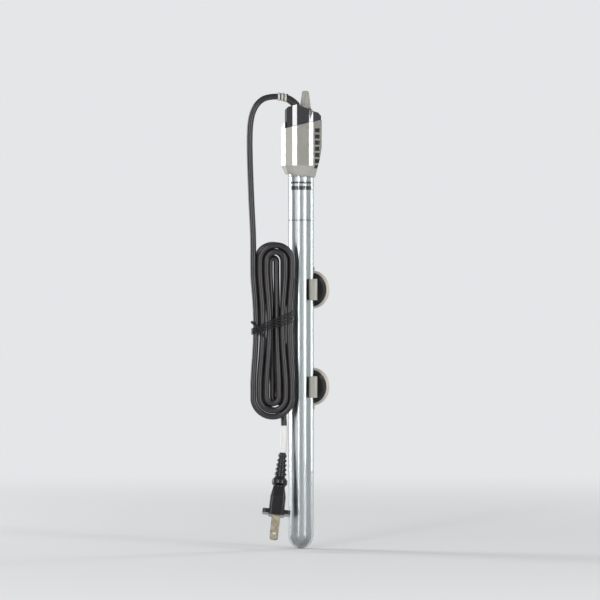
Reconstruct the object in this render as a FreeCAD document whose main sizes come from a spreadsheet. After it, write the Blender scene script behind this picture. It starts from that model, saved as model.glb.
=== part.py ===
import FreeCAD, Part
import math
import os
import Sketcher

# Submersible aquarium heater, upright, knob up. Millimetres.
# The origin is on the glass tube's axis, midway between the two suction-cup clips.
# +Z runs up the tube, the front of the head faces -Y, the wall that holds the cups is behind.

os.makedirs("parts", exist_ok=True)
doc = FreeCAD.newDocument("AquariumHeater")

SIZES = [
    ("tube_radius", 9.55, "outer radius of the glass tube"),
    ("glass_wall", 1.0, "wall of the glass tube"),
    ("tube_bottom", -157.5, "lowest point of the round glass end"),
    ("tube_length", 289.5, "glass tube from end to end"),
    ("sleeve_gap", 0.3, "space between the glass and the mirror sleeve"),
    ("sleeve_wall", 0.25, "sheet of the mirror sleeve"),
    ("sleeve_drop", 0.3, "mirror sleeve below the stopper"),
    ("soft_gap", 0.3, "space round a piece that stands in a tube"),
    ("fit_gap", 0.05, "running fit, on the radius"),
    ("pad_height", 4.0, "pad above the middle of the round end"),
    ("core_radius", 4.6, "ceramic core"),
    ("core_bore", 1.2, "bore of the ceramic core"),
    ("board_length", 75.2, "thermostat board, from the core to the stopper"),
    ("winding_wall", 0.6, "layer of resistance wire on the core"),
    ("winding_gap", 3.0, "bare core between the winding and each disc"),
    ("disc_thick", 2.0, "centring disc"),
    ("disc_inset", 4.0, "centring disc from the core's end"),
    ("board_width", 11.0, "thermostat board"),
    ("board_thick", 1.2, "thermostat board"),
    ("board_front", 0.5, "front face of the board behind the tube's axis"),
    ("contact_height", 12.0, "fixed contact above the core"),
    ("arm_width", 5.0, "bimetal arm"),
    ("arm_thick", 0.5, "bimetal arm"),
    ("arm_drop", 13.2, "bimetal arm below the stopper"),
    ("arm_stand", 3.7, "bimetal arm in front of the board"),
    ("lead_radius", 0.55, "lead wire"),
    ("lead_offset", 6.6, "lead wire beside the board"),
    ("stopper_depth", 10.7, "stopper in the glass"),
    ("stopper_flange", 2.3, "flange of the stopper on the glass"),
    ("seal_rise", 5.6, "seat of the tube seal above the head's lower edge"),
    ("seal_height", 5.7, "tube seal"),
    ("seal_wall", 1.4, "tube seal"),
    ("head_left", 14.5, "left face of the head from the axis"),
    ("head_right", 15.7, "right face of the head from the axis"),
    ("head_front", 12.6, "front face of the head from the axis"),
    ("tube_in_head", 11.6, "glass inside the head"),
    ("shoulder_rise", 8.9, "tapered foot of the head"),
    ("head_foot_radius", 10.7, "lower edge of the head from the axis"),
    ("shell_height", 39.4, "shell from its lower edge to the seam at the axis"),
    ("seam_slope", 0.232, "rise of the seam to the right"),
    ("seam_gap", 0.25, "open line between shell and cap"),
    ("rim_rise", 2.2, "left rim of the shell above the seam"),
    ("cap_left", 11.9, "left face of the cap"),
    ("cap_right", 15.2, "right face of the cap"),
    ("cap_front", 12.2, "front face of the cap"),
    ("cap_height", 15.1, "highest edge of the cap above the seam"),
    ("roof_depth", 7.4, "ceiling of the cap's hollow below its highest edge"),
    ("cap_hollow", 9.9, "radius of the cap's hollow"),
    ("knob_x", 3.45, "knob axis to the right of the tube axis"),
    ("seat_depth", 2.9, "round seat under the knob, below the cap's highest edge"),
    ("knob_seat_radius", 5.2, "round seat under the knob"),
    ("knob_gap", 0.3, "space between the knob and its seat"),
    ("knob_height", 13.2, "knob"),
    ("knob_foot_radius", 4.2, "knob at its foot"),
    ("knob_top_radius", 2.6, "knob at its top"),
    ("flute_radius", 0.8, "grip flute of the knob"),
    ("spindle_radius", 1.6, "spindle under the knob"),
    ("spindle_sink", 5.0, "spindle in the stopper"),
    ("spindle_rise", 7.0, "spindle inside the knob"),
    ("ring_width", 1.3, "sealing ring on the spindle"),
    ("ring_height", 1.6, "sealing ring on the spindle"),
    ("clip_ring", 0.7, "retaining ring on the spindle"),
    ("pointer_rise", 13.1, "pointer nut at rest above the stopper"),
    ("pointer_travel", 11.0, "travel of the pointer each way"),
    ("pointer_nut", 3.6, "height of the pointer nut"),
    ("pointer_wall", 1.5, "wall of the pointer nut"),
    ("pointer_arm", 1.2, "height of the pointer's arm"),
    ("pointer_width", 1.8, "width of the pointer's arm"),
    ("window_width", 5.6, "scale window"),
    ("window_height", 3.1, "scale window"),
    ("window_skin", 1.2, "shell in front of the scale lens"),
    ("window_drop", 4.2, "middle of the highest window below the seam"),
    ("window_pitch", 4.6, "from one window to the next"),
    ("lens_thick", 0.9, "scale lens"),
    ("lens_width", 7.0, "scale lens"),
    ("gland_radius", 2.95, "cord gland in the cap"),
    ("gland_tip", 2.6, "outer end of the cord gland"),
    ("gland_x", -4.9, "foot of the gland's bend"),
    ("gland_rise", 1.3, "foot of the gland's bend above the cap's highest edge"),
    ("gland_bend", 17.4, "radius of the gland's bend"),
    ("gland_root", 6.0, "gland below the foot of its bend"),
    ("gland_ring", 0.5, "grip ring on the gland"),
    ("lamp_width", 3.4, "lens of the indicator lamp"),
    ("lamp_height", 2.6, "lens of the indicator lamp"),
    ("lamp_drop", 8.4, "lens of the indicator lamp below the cap's highest edge"),
    ("clip_height", 16.0, "suction-cup clip along the tube"),
    ("clip_wall", 1.8, "wall of the clip"),
    ("clip_spacing", 73.1, "from one clip to the other"),
    ("clip_turn", 62.0, "direction of the cups from +X, in degrees"),
    ("clip_wrap", 116.0, "each clip arm, in degrees"),
    ("liner_wall", 0.95, "soft liner in the clip"),
    ("liner_wrap", 119.0, "each liner arm, in degrees"),
    ("block_reach", 15.0, "outer face of the clip's block"),
    ("block_width", 11.0, "clip's block"),
    ("button_radius", 3.4, "button of the suction cup in the clip"),
    ("button_thick", 1.1, "button of the suction cup"),
    ("stem_radius", 2.2, "stem of the suction cup"),
    ("plate_thick", 1.0, "plate that holds the cup's stem"),
    ("cup_radius", 14.2, "suction cup"),
    ("cup_reach", 19.3, "rim of the cup from the tube's axis"),
    ("cup_skin", 1.3, "skin of the suction cup"),
    ("cord_diameter", 4.5, "mains cord"),
    ("hank_x", -21.0, "middle of the hank"),
    ("hank_front", -17.4, "front layer of the hank"),
    ("hank_layer", 5.0, "from layer to layer"),
    ("hank_pitch", 4.95, "from run to run"),
    ("hank_fold", 4.6, "innermost fold of the hank"),
    ("hank_top", 57.6, "middle of the upper folds"),
    ("hank_bottom", -43.8, "middle of the lower folds"),
    ("hank_waist", 10.7, "height of the tie"),
    ("hank_draw", 2.1, "how far the tie draws each run in"),
    ("tie_radius", 0.6, "wire tie"),
    ("tie_gap", 0.35, "space between tie and cord"),
    ("label_wall", 0.45, "sleeve label on the cord"),
    ("label_length", 20.4, "sleeve label on the cord"),
    ("label_start", 1.0, "sleeve label above the plug"),
    ("boot_length", 25.0, "cord boot of the plug"),
    ("boot_top", 2.9, "radius of the boot at the cord"),
    ("boot_foot", 4.4, "radius of the boot at the plug"),
    ("collar_radius", 5.8, "finger collar of the boot"),
    ("plug_thick", 11.6, "plug across its narrow side"),
    ("plug_wide", 19.0, "plug across its wide side"),
    ("plug_body", 17.0, "plug between boot and flange"),
    ("plug_flange", 4.5, "flange of the plug"),
    ("flange_wide", 21.0, "flange from wing to wing"),
    ("plug_round", 2.2, "rounded corners of the plug"),
    ("blade_width", 6.35, "plug blade"),
    ("blade_thick", 1.5, "plug blade"),
    ("blade_length", 17.5, "plug blade"),
    ("blade_pitch", 12.7, "from blade to blade"),
]

sheet = doc.addObject("Spreadsheet::Sheet", "Sizes")
for row, (alias, number, note) in enumerate(SIZES, start=1):
    sheet.set(f"A{row}", alias.replace("_", " "))
    sheet.set(f"B{row}", str(number))
    sheet.setAlias(f"B{row}", alias)
    sheet.set(f"C{row}", note)
doc.recompute()


class Size:
    """A number together with the sheet expression that gives it."""

    def __init__(self, number, text):
        self.number = number
        self.text = text

    def __add__(self, other):
        other = sized(other)
        return Size(self.number + other.number, f"({self.text} + {other.text})")

    def __sub__(self, other):
        other = sized(other)
        return Size(self.number - other.number, f"({self.text} - {other.text})")

    def __mul__(self, other):
        other = sized(other)
        return Size(self.number * other.number, f"({self.text} * {other.text})")

    def __truediv__(self, other):
        other = sized(other)
        return Size(self.number / other.number, f"({self.text} / {other.text})")

    def __neg__(self):
        return Size(-self.number, f"(0 - {self.text})")

    def __radd__(self, other):
        return sized(other) + self

    def __rsub__(self, other):
        return sized(other) - self

    def __rmul__(self, other):
        return sized(other) * self


def sized(value):
    """The value as a Size; a plain number keeps its own text."""
    if isinstance(value, Size):
        return value
    return Size(float(value), f"({float(value)!r})")


class Sheet:
    """The named sizes of the sheet, each as a Size."""


S = Sheet()
for alias, number, note in SIZES:
    setattr(S, alias, Size(float(getattr(sheet, alias)), f"Sizes.{alias}"))

V = FreeCAD.Vector
ZERO = sized(0)
UP = V(0, 0, 1)


def bind(thing, name, size):
    """Ties a property to the sheet."""
    thing.setExpression(name, sized(size).text)


def place(thing, x=ZERO, y=ZERO, z=ZERO):
    """Ties a piece's position to the sheet."""
    for axis, size in (("x", x), ("y", y), ("z", z)):
        bind(thing, f".Placement.Base.{axis}", size)


def new_body(label):
    body = doc.addObject("PartDesign::Body", label)
    body.Label = label
    return body


def own_plane(body, role):
    """One of the body's own origin planes."""
    return next(f for f in body.Origin.OriginFeatures if f.Role == role)


def fix_point(sketch, edge, end, x, y, skip=""):
    """Holds a point of the sketch at (x, y) from its origin; skip leaves one of them free."""
    for axis, size, line in (("x", sized(x), -2), ("y", sized(y), -1)):
        if axis in skip:
            continue
        if size.number == 0 and "Sizes" not in size.text:
            sketch.addConstraint(Sketcher.Constraint("PointOnObject", edge, end, line))
            continue
        kind = "Distance" + axis.upper()
        index = sketch.addConstraint(Sketcher.Constraint(kind, -1, 1, edge, end, size.number))
        bind(sketch, f"Constraints[{index}]", size)


def draw_outline(sketch, corners, arcs=None, free=None):
    """Draws a closed outline through the corners.

    arcs maps an edge's number to (centre x, centre y, turn), turn +1 for anticlockwise.
    free maps a corner's number to the coordinate that an arc already settles.
    """
    arcs = arcs or {}
    free = free or {}
    first = sketch.GeometryCount
    points = [(sized(x), sized(y)) for x, y in corners]
    count = len(points)
    ends = []
    for i in range(count):
        a = V(points[i][0].number, points[i][1].number, 0)
        b = V(points[(i + 1) % count][0].number, points[(i + 1) % count][1].number, 0)
        if i in arcs:
            middle = V(sized(arcs[i][0]).number, sized(arcs[i][1]).number, 0)
            start, stop = (a, b) if arcs[i][2] > 0 else (b, a)
            circle = Part.Circle(middle, UP, (a - middle).Length)
            angle_a = math.atan2(start.y - middle.y, start.x - middle.x)
            angle_b = math.atan2(stop.y - middle.y, stop.x - middle.x)
            if angle_b <= angle_a:
                angle_b += 2 * math.pi
            sketch.addGeometry(Part.ArcOfCircle(circle, angle_a, angle_b), False)
            ends.append((1, 2) if arcs[i][2] > 0 else (2, 1))
        else:
            sketch.addGeometry(Part.LineSegment(a, b), False)
            ends.append((1, 2))
    for i in range(count):
        after = (i + 1) % count
        joint = ("Coincident", first + i, ends[i][1], first + after, ends[after][0])
        sketch.addConstraint(Sketcher.Constraint(*joint))
    for i, (x, y) in enumerate(points):
        fix_point(sketch, first + i, ends[i][0], x, y, free.get(i, ""))
    for i, (x, y, turn) in arcs.items():
        fix_point(sketch, first + i, 3, x, y)


def draw_circle(sketch, radius, x=ZERO, y=ZERO):
    """Draws a circle, its middle and radius tied to the sheet."""
    x, y, radius = sized(x), sized(y), sized(radius)
    middle = V(x.number, y.number, 0)
    edge = sketch.addGeometry(Part.Circle(middle, UP, radius.number), False)
    fix_point(sketch, edge, 3, x, y)
    index = sketch.addConstraint(Sketcher.Constraint("Radius", edge, radius.number))
    bind(sketch, f"Constraints[{index}]", radius)


def new_sketch(body, role="XY_Plane", lift=ZERO):
    """A sketch on one of the body's own planes, raised along the plane's normal."""
    sketch = body.newObject("Sketcher::SketchObject", body.Label + "_sketch")
    sketch.AttachmentSupport = (own_plane(body, role), [""])
    sketch.MapMode = "FlatFace"
    bind(sketch, ".AttachmentOffset.Base.z", lift)
    return sketch


def turn(body, corners, kind="Revolution", axis="V_Axis", **outline):
    """Turns an outline about the upright (V) or the level (H) axis of the front plane."""
    sketch = new_sketch(body, "XZ_Plane")
    draw_outline(sketch, corners, **outline)
    feature = body.newObject("PartDesign::" + kind, body.Label + "_turned")
    feature.Profile = sketch
    feature.ReferenceAxis = (sketch, [axis])
    feature.Angle = 360
    body.Tip = feature
    return feature


def rise(body, low, high, corners=None, circles=(), kind="Pad", **outline):
    """Pads or pockets a plan from the height low to the height high."""
    low, high = sized(low), sized(high)
    sketch = new_sketch(body, "XY_Plane", low if kind == "Pad" else high)
    if corners:
        draw_outline(sketch, corners, **outline)
    for circle in circles:
        draw_circle(sketch, *circle)
    feature = body.newObject("PartDesign::" + kind, body.Label + "_" + kind.lower())
    feature.Profile = sketch
    bind(feature, "Length", high - low)
    body.Tip = feature
    return feature


def box_corners(x0, x1, y0, y1):
    return [(x0, y0), (x1, y0), (x1, y1), (x0, y1)]


def ring_piece(label, inner, outer, low, high, **where):
    """A turned ring or tube of plain section."""
    body = new_body(label)
    turn(body, box_corners(inner, outer, low, high))
    place(body, **where)
    return body


def free_sketch(label, corners, front=False, lift=ZERO):
    """A sketch outside any body: a plan at the height lift, or a front view."""
    sketch = doc.addObject("Sketcher::SketchObject", label)
    draw_outline(sketch, corners)
    if front:
        sketch.Placement = FreeCAD.Placement(V(), FreeCAD.Rotation(V(1, 0, 0), 90))
    else:
        bind(sketch, ".Placement.Base.z", lift)
    return sketch


def extrude(sketch, direction, length, symmetric=False):
    solid = doc.addObject("Part::Extrusion", sketch.Name + "_prism")
    solid.Base = sketch
    solid.DirMode = "Custom"
    solid.Dir = direction
    bind(solid, "LengthFwd", length)
    solid.Symmetric = symmetric
    solid.Solid = True
    return solid


def joined(kind, label, pieces):
    """A boolean of several pieces, such as Part::MultiCommon or Part::MultiFuse."""
    result = doc.addObject(kind, label)
    result.Shapes = pieces
    return result


def cut(label, base, tools):
    """The base without the tools."""
    tool = tools[0] if len(tools) == 1 else joined("Part::MultiFuse", label + "_tools", tools)
    result = doc.addObject("Part::Cut", label)
    result.Base = base
    result.Tool = tool
    result.Label = label
    return result


def cylinder(label, radius, low, high, x=ZERO, y=ZERO):
    solid = doc.addObject("Part::Cylinder", label)
    bind(solid, "Radius", radius)
    bind(solid, "Height", high - low)
    place(solid, x, y, low)
    return solid


def box(label, x0, x1, y0, y1, z0, z1):
    solid = doc.addObject("Part::Box", label)
    solid.Label = label
    bind(solid, "Length", sized(x1) - x0)
    bind(solid, "Width", sized(y1) - y0)
    bind(solid, "Height", sized(z1) - z0)
    place(solid, sized(x0), sized(y0), sized(z0))
    return solid


def shape_piece(label, shape):
    """A piece whose shape is worked out below from the sheet's sizes."""
    piece = doc.addObject("Part::Feature", label)
    piece.Label = label
    piece.Shape = shape
    return piece


PIECES = []


def keep(*pieces):
    """Marks the pieces that are written out, each under its label."""
    PIECES.extend(pieces)


# Glass tube and what stands in it

TUBE_TOP = S.tube_bottom + S.tube_length
STOPPER_LOW = TUBE_TOP - S.stopper_depth
ROUND_END = S.tube_bottom + S.tube_radius
GLASS_BORE = S.tube_radius - S.glass_wall
SLEEVE_RADIUS = GLASS_BORE - S.sleeve_gap
SLEEVE_BORE = SLEEVE_RADIUS - S.sleeve_wall
INNER_RADIUS = SLEEVE_BORE - S.soft_gap
CORE_LOW = ROUND_END + S.pad_height
CORE_TOP = STOPPER_LOW - S.board_length


def test_tube(label, radius, wall, top):
    """An open tube with a round lower end about the middle ROUND_END."""
    body = new_body(label)
    inner = radius - wall
    corners = [
        (ZERO, ROUND_END - radius),
        (radius, ROUND_END),
        (radius, top),
        (inner, top),
        (inner, ROUND_END),
        (ZERO, ROUND_END - inner),
    ]
    arcs = {0: (ZERO, ROUND_END, 1), 4: (ZERO, ROUND_END, -1)}
    turn(body, corners, arcs=arcs, free={0: "y", 5: "y"})
    return body


def core_pad():
    """Ceramic fibre pad that fills the round end under the core."""
    body = new_body("core_pad")
    corners = [
        (ZERO, ROUND_END - INNER_RADIUS),
        (INNER_RADIUS, ROUND_END),
        (INNER_RADIUS, CORE_LOW),
        (ZERO, CORE_LOW),
    ]
    turn(body, corners, arcs={0: (ZERO, ROUND_END, 1)}, free={0: "y"})
    return body


def centring_disc(label, low):
    inner = S.core_radius + S.fit_gap
    return ring_piece(label, inner, INNER_RADIUS, low, low + S.disc_thick)


def inside_pieces():
    keep(test_tube("glass_tube", S.tube_radius, S.glass_wall, TUBE_TOP))
    keep(test_tube("mirror_sleeve", SLEEVE_RADIUS, S.sleeve_wall, STOPPER_LOW - S.sleeve_drop))
    keep(core_pad())
    keep(ring_piece("ceramic_core", S.core_bore, S.core_radius, CORE_LOW, CORE_TOP))
    wire_inner = S.core_radius + S.fit_gap
    lower_disc = CORE_LOW + S.disc_inset
    upper_disc = CORE_TOP - S.disc_inset - S.disc_thick
    wire_low = lower_disc + S.disc_thick + S.winding_gap
    wire_top = upper_disc - S.winding_gap
    keep(ring_piece("heating_winding", wire_inner, wire_inner + S.winding_wall, wire_low, wire_top))
    keep(centring_disc("core_disc_lower", lower_disc))
    keep(centring_disc("core_disc_upper", upper_disc))


# Thermostat between the core and the stopper

STOPPER_RADIUS = GLASS_BORE - S.soft_gap
STOPPER_TOP = TUBE_TOP + S.stopper_flange
BOARD_BACK = S.board_front + S.board_thick
ARM_BACK = S.board_front - S.arm_stand
ARM_LOW = CORE_TOP + S.contact_height
ARM_TOP = STOPPER_LOW - S.arm_drop
BLOCK_HALF = 2.0
RIVET_RADIUS = 1.1


def fixed_contact():
    """Bracket on the board with the rivet that the bimetal arm rests on."""
    half = S.arm_width / 2
    block = box("contact_block", -half, half, ARM_BACK + 1, S.board_front, ARM_LOW, ARM_LOW + 4)
    rivet = doc.addObject("Part::Cylinder", "contact_rivet")
    rivet.Radius = RIVET_RADIUS
    bind(rivet, "Height", sized(1) - S.fit_gap)
    rivet.Placement = FreeCAD.Placement(V(), FreeCAD.Rotation(V(1, 0, 0), -90))
    place(rivet, ZERO, ARM_BACK + S.fit_gap, ARM_LOW + BLOCK_HALF)
    return joined("Part::MultiFuse", "fixed_contact", [block, rivet])


def thermostat_pieces():
    half = S.board_width / 2
    arm = S.arm_width / 2
    keep(box("thermostat_board", -half, half, S.board_front, BOARD_BACK, CORE_TOP, STOPPER_LOW))
    keep(fixed_contact())
    keep(box("bimetal_arm", -arm, arm, ARM_BACK - S.arm_thick, ARM_BACK, ARM_LOW, ARM_TOP))
    clamp_back = ARM_BACK + S.soft_gap
    keep(box("arm_clamp", -arm, arm, clamp_back, S.board_front, ARM_TOP - 5, ARM_TOP + 1))
    magnet_low = ARM_LOW + 8
    keep(box("snap_magnet", -arm + 1, arm - 1, ARM_BACK + 1.2, S.board_front, magnet_low, magnet_low + 5))
    keep(box("suppressor", -half + 1, half - 1, BOARD_BACK, BOARD_BACK + 3.5, CORE_TOP + 20, CORE_TOP + 36))
    leads = [
        cylinder(f"lead_wire_{side}", S.lead_radius, CORE_TOP - S.disc_inset, STOPPER_LOW, x, sized(-1.5))
        for side, x in (("left", -S.lead_offset), ("right", S.lead_offset))
    ]
    pair = doc.addObject("Part::Compound", "lead_wires")
    pair.Links = leads
    keep(pair)


# Head: stopper, seal, shell, cap, scale

SPINDLE_BORE = S.spindle_radius + S.fit_gap
HEAD_FOOT = TUBE_TOP - S.tube_in_head
SHOULDER = HEAD_FOOT + S.shoulder_rise
SEAL_LOW = HEAD_FOOT + S.seal_rise
SEAM = HEAD_FOOT + S.shell_height
RIM_TOP = SEAM + S.rim_rise
CAP_PEAK = SEAM + S.cap_height
CAP_ROOF = CAP_PEAK - S.roof_depth
KNOB_SEAT = CAP_PEAK - S.seat_depth
POINTER_HEIGHT = STOPPER_TOP + S.pointer_rise
HEAD_HOLLOW = S.tube_radius + S.fit_gap + S.seal_wall + S.fit_gap
CHEEK_X = S.head_left - 2.9
CORNER_X = S.head_left - 8.3
FLAT_X = S.head_left - 11.6
POD_X = S.head_right - 6.5
SIDE_Y = 4.5
POD_Y = S.head_front - 1.2


def mirrored(front):
    """A plan outline from its front half, left to right, with the back half like it."""
    return front + [(x, -y) for x, y in reversed(front)]


SHELL_PLAN = mirrored([
    (-S.head_left, sized(-SIDE_Y)),
    (-CHEEK_X, -(S.head_front - 3.4)),
    (-CORNER_X, -(S.head_front - 0.6)),
    (-FLAT_X, -S.head_front),
    (CORNER_X, -S.head_front),
    (POD_X, -POD_Y),
    (S.head_right, sized(-SIDE_Y)),
])


def foot_plan():
    """The shell's plan drawn in to a circle of corners at its lower edge."""
    corners = []
    for x, y in SHELL_PLAN:
        angle = math.atan2(y.number, x.number)
        corners.append((S.head_foot_radius * math.cos(angle), S.head_foot_radius * math.sin(angle)))
    return corners


def seam(x, gap=0.0):
    """Height of the seam between shell and cap at x."""
    return SEAM + S.seam_slope * x + gap


def stopper():
    """Stopper that closes the glass and carries the spindle's foot."""
    body = new_body("tube_stopper")
    corners = [
        (ZERO, STOPPER_LOW),
        (STOPPER_RADIUS, STOPPER_LOW),
        (STOPPER_RADIUS, TUBE_TOP),
        (HEAD_HOLLOW - S.soft_gap, TUBE_TOP),
        (HEAD_HOLLOW - S.soft_gap, STOPPER_TOP),
        (ZERO, STOPPER_TOP),
    ]
    turn(body, corners)
    foot = STOPPER_TOP - S.spindle_sink
    rise(body, foot, STOPPER_TOP + 1, circles=[(SPINDLE_BORE, S.knob_x)], kind="Pocket")
    return body


def tube_seal():
    """Rubber ring between the glass and the head, its outer edges broken."""
    body = new_body("tube_seal")
    inner = S.tube_radius + S.fit_gap
    outer = inner + S.seal_wall
    top = SEAL_LOW + S.seal_height
    edge = 0.4
    corners = [
        (inner, SEAL_LOW),
        (outer - edge, SEAL_LOW),
        (outer, SEAL_LOW + edge),
        (outer, top - edge),
        (outer - edge, top),
        (inner, top),
    ]
    turn(body, corners)
    return body


def pod_frame():
    """Middle, along and outward directions of the slanted scale face."""
    a = V(POD_X.number, -POD_Y.number, 0)
    b = V(S.head_right.number, -SIDE_Y, 0)
    along = (b - a).normalize()
    outward = V(-along.y, along.x, 0) * -1
    return (a + b) / 2, along, outward


def scale_box(label, depth0, depth1, width, z0, z1):
    """A box square to the scale face, from depth0 to depth1 below the face."""
    middle, along, outward = pod_frame()
    solid = doc.addObject("Part::Box", label)
    bind(solid, "Length", width)
    bind(solid, "Width", sized(depth1) - depth0)
    bind(solid, "Height", sized(z1) - z0)
    corner = middle - outward * sized(depth0).number - along * (sized(width).number / 2)
    turned = FreeCAD.Rotation(V(0, 0, 1), math.degrees(math.atan2(along.y, along.x)))
    corner.z = sized(z0).number
    solid.Placement = FreeCAD.Placement(corner, turned)
    return solid


WINDOW_COUNT = 5
NOTCH_COUNT = 2
LENS_BACK = S.window_skin + S.fit_gap + S.lens_thick
LENS_MARGIN = 1.2


def window_middle(number):
    return SEAM - S.window_drop - S.window_pitch * number


def head_shell():
    """Faceted shell: plan prism on a tapered foot, cut to its front view, hollowed."""
    plan = free_sketch("shell_plan", SHELL_PLAN, lift=SHOULDER)
    prism = extrude(plan, UP, CAP_PEAK - SHOULDER)
    foot = free_sketch("shell_foot", foot_plan(), lift=HEAD_FOOT)
    ring = free_sketch("shell_ring", SHELL_PLAN, lift=SHOULDER)
    taper = doc.addObject("Part::Loft", "shell_taper")
    taper.Sections = [foot, ring]
    taper.Solid = True
    taper.Ruled = True
    whole = joined("Part::MultiFuse", "shell_whole", [prism, taper])
    left = -S.head_left - 1
    right = S.head_right + 1
    front = [
        (left, HEAD_FOOT + 3.4),
        (S.head_foot_radius, HEAD_FOOT),
        (S.head_right - 3.1, SHOULDER - 1.3),
        (S.head_right - 1.5, SHOULDER + 4.7),
        (S.head_right - 0.5, SHOULDER + 10.7),
        (right, SHOULDER + 20),
        (right, seam(right)),
        (-S.cap_left, seam(-S.cap_left)),
        (-S.cap_left, RIM_TOP),
        (-S.head_left, RIM_TOP - 4.3),
        (left, RIM_TOP - 4.3),
    ]
    view = free_sketch("shell_front", front, front=True)
    slab = extrude(view, V(0, 1, 0), S.head_front * 4, symmetric=True)
    outside = joined("Part::MultiCommon", "shell_outside", [whole, slab])
    hollow = cylinder("shell_hollow", HEAD_HOLLOW, SEAL_LOW, CAP_PEAK)
    bore = cylinder("shell_bore", S.tube_radius + S.soft_gap, HEAD_FOOT - 1, CAP_PEAK)
    low = window_middle(WINDOW_COUNT - 1) - S.window_height / 2 - LENS_MARGIN
    high = window_middle(0) + S.window_height / 2 + LENS_MARGIN
    seat_back = LENS_BACK + S.fit_gap
    reach = S.pointer_travel + S.pointer_arm / 2 + S.soft_gap
    slot = S.pointer_width + S.soft_gap * 4
    tools = [
        hollow,
        bore,
        scale_box("shell_lens_seat", S.window_skin, seat_back + S.soft_gap * 2, S.lens_width, low, high),
        scale_box("shell_pointer_slot", seat_back, seat_back + 5, slot,
                  POINTER_HEIGHT - reach, POINTER_HEIGHT + reach),
    ]
    for number in range(WINDOW_COUNT + NOTCH_COUNT):
        middle = window_middle(number)
        depth = S.window_skin + 0.5 if number < WINDOW_COUNT else 0.7
        z0 = middle - S.window_height / 2
        tools.append(scale_box(f"shell_window_{number}", -1, depth, S.window_width, z0, z0 + S.window_height))
    return cut("head_shell", outside, tools)


def scale_lens():
    """Smoked lens behind the windows, seated in the shell."""
    gap = S.fit_gap
    low = window_middle(WINDOW_COUNT - 1) - S.window_height / 2 - LENS_MARGIN + gap
    high = window_middle(0) + S.window_height / 2 + LENS_MARGIN - gap
    front = S.window_skin + gap
    lens = scale_box("scale_lens", front, front + S.lens_thick, S.lens_width - gap * 2, low, high)
    lens.Label = "scale_lens"
    return lens


CAP_PLAN = mirrored([
    (-S.cap_left, sized(-SIDE_Y)),
    (-S.cap_left + 1.4, -(S.cap_front - 3.2)),
    (-CORNER_X, -(S.cap_front - 0.6)),
    (-FLAT_X, -S.cap_front),
    (CORNER_X, -S.cap_front),
    (POD_X, -(POD_Y - 0.4)),
    (S.cap_right, sized(-SIDE_Y)),
])
GLAND_TILT = 45.0
GLAND_RINGS = (0.54, 0.74, 0.94)
GLAND_BAND = 1.4
GLAND_Z = CAP_PEAK + S.gland_rise
GLAND_CLEAR = S.knob_foot_radius + S.knob_gap + 0.1
LAMP_DEPTH = 1.0
CAP_SETBACK = 0.4


def gland_line():
    """Foot of the gland's bend and the direction in which it leaves the cap."""
    tilt = math.radians(GLAND_TILT)
    return V(S.gland_x.number, 0, GLAND_Z.number), V(-math.sin(tilt), 0, math.cos(tilt))


def along_gland(label, radius, start, length):
    """A cylinder on the gland's line, from start along it."""
    foot, direction = gland_line()
    solid = doc.addObject("Part::Cylinder", label)
    bind(solid, "Radius", radius)
    bind(solid, "Height", length)
    solid.Placement = FreeCAD.Placement(foot + direction * start, FreeCAD.Rotation(UP, direction))
    return solid


def gland_bore():
    """The gland's hole in the cap, stopped short of the knob's column."""
    reach = S.gland_root + S.fit_gap
    hole = along_gland("gland_hole", S.gland_radius + S.fit_gap, -reach.number, reach + 4)
    column = cylinder("gland_hole_stop", GLAND_CLEAR, CAP_ROOF - 1, CAP_PEAK + 10, S.knob_x)
    return cut("cap_gland_bore", hole, [column])


def lamp_cutter(label, gap, depth):
    """The recess of the lamp's lens in the cap's slanted right face."""
    top = CAP_PEAK - S.lamp_drop + gap
    low = top - S.lamp_height - gap * 2
    return scale_box(label, CAP_SETBACK - gap, depth, S.lamp_width + gap * 2, low, top)


def top_cap():
    """Dark cap on the slanted seam, with the knob's round seat and the gland's hole."""
    plan = free_sketch("cap_plan", CAP_PLAN, lift=SHOULDER)
    prism = extrude(plan, UP, CAP_PEAK + 5 - SHOULDER)
    front = [
        (-S.cap_left, seam(-S.cap_left, S.seam_gap)),
        (S.cap_right, seam(S.cap_right, S.seam_gap)),
        (S.cap_right, CAP_PEAK - 8.4),
        (S.cap_right - 2, CAP_PEAK - 6.0),
        (S.head_right - 6.3, CAP_PEAK - 5.0),
        (-FLAT_X, CAP_PEAK),
        (-S.cap_left + 2.4, CAP_PEAK - 1.7),
        (-S.cap_left, CAP_PEAK - 3.9),
    ]
    view = free_sketch("cap_front", front, front=True)
    slab = extrude(view, V(0, 1, 0), S.head_front * 4, symmetric=True)
    outside = joined("Part::MultiCommon", "cap_outside", [prism, slab])
    seat = cylinder("cap_seat", S.knob_seat_radius, CAP_ROOF, KNOB_SEAT, S.knob_x)
    solid = joined("Part::MultiFuse", "cap_solid", [outside, seat])
    ring_bore = S.spindle_radius + S.ring_width + S.fit_gap
    tools = [
        cylinder("cap_hollow", S.cap_hollow, SHOULDER, CAP_ROOF),
        cylinder("cap_spindle_bore", SPINDLE_BORE, CAP_ROOF - 1, KNOB_SEAT + 1, S.knob_x),
        cylinder("cap_ring_bore", ring_bore, CAP_ROOF - 1, CAP_ROOF + S.ring_height, S.knob_x),
        cylinder("cap_knob_well", S.knob_seat_radius, KNOB_SEAT, CAP_PEAK + 10, S.knob_x),
        gland_bore(),
        lamp_cutter("cap_lamp_recess", S.fit_gap, LAMP_DEPTH + 1),
    ]
    return cut("top_cap", solid, tools)


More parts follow.
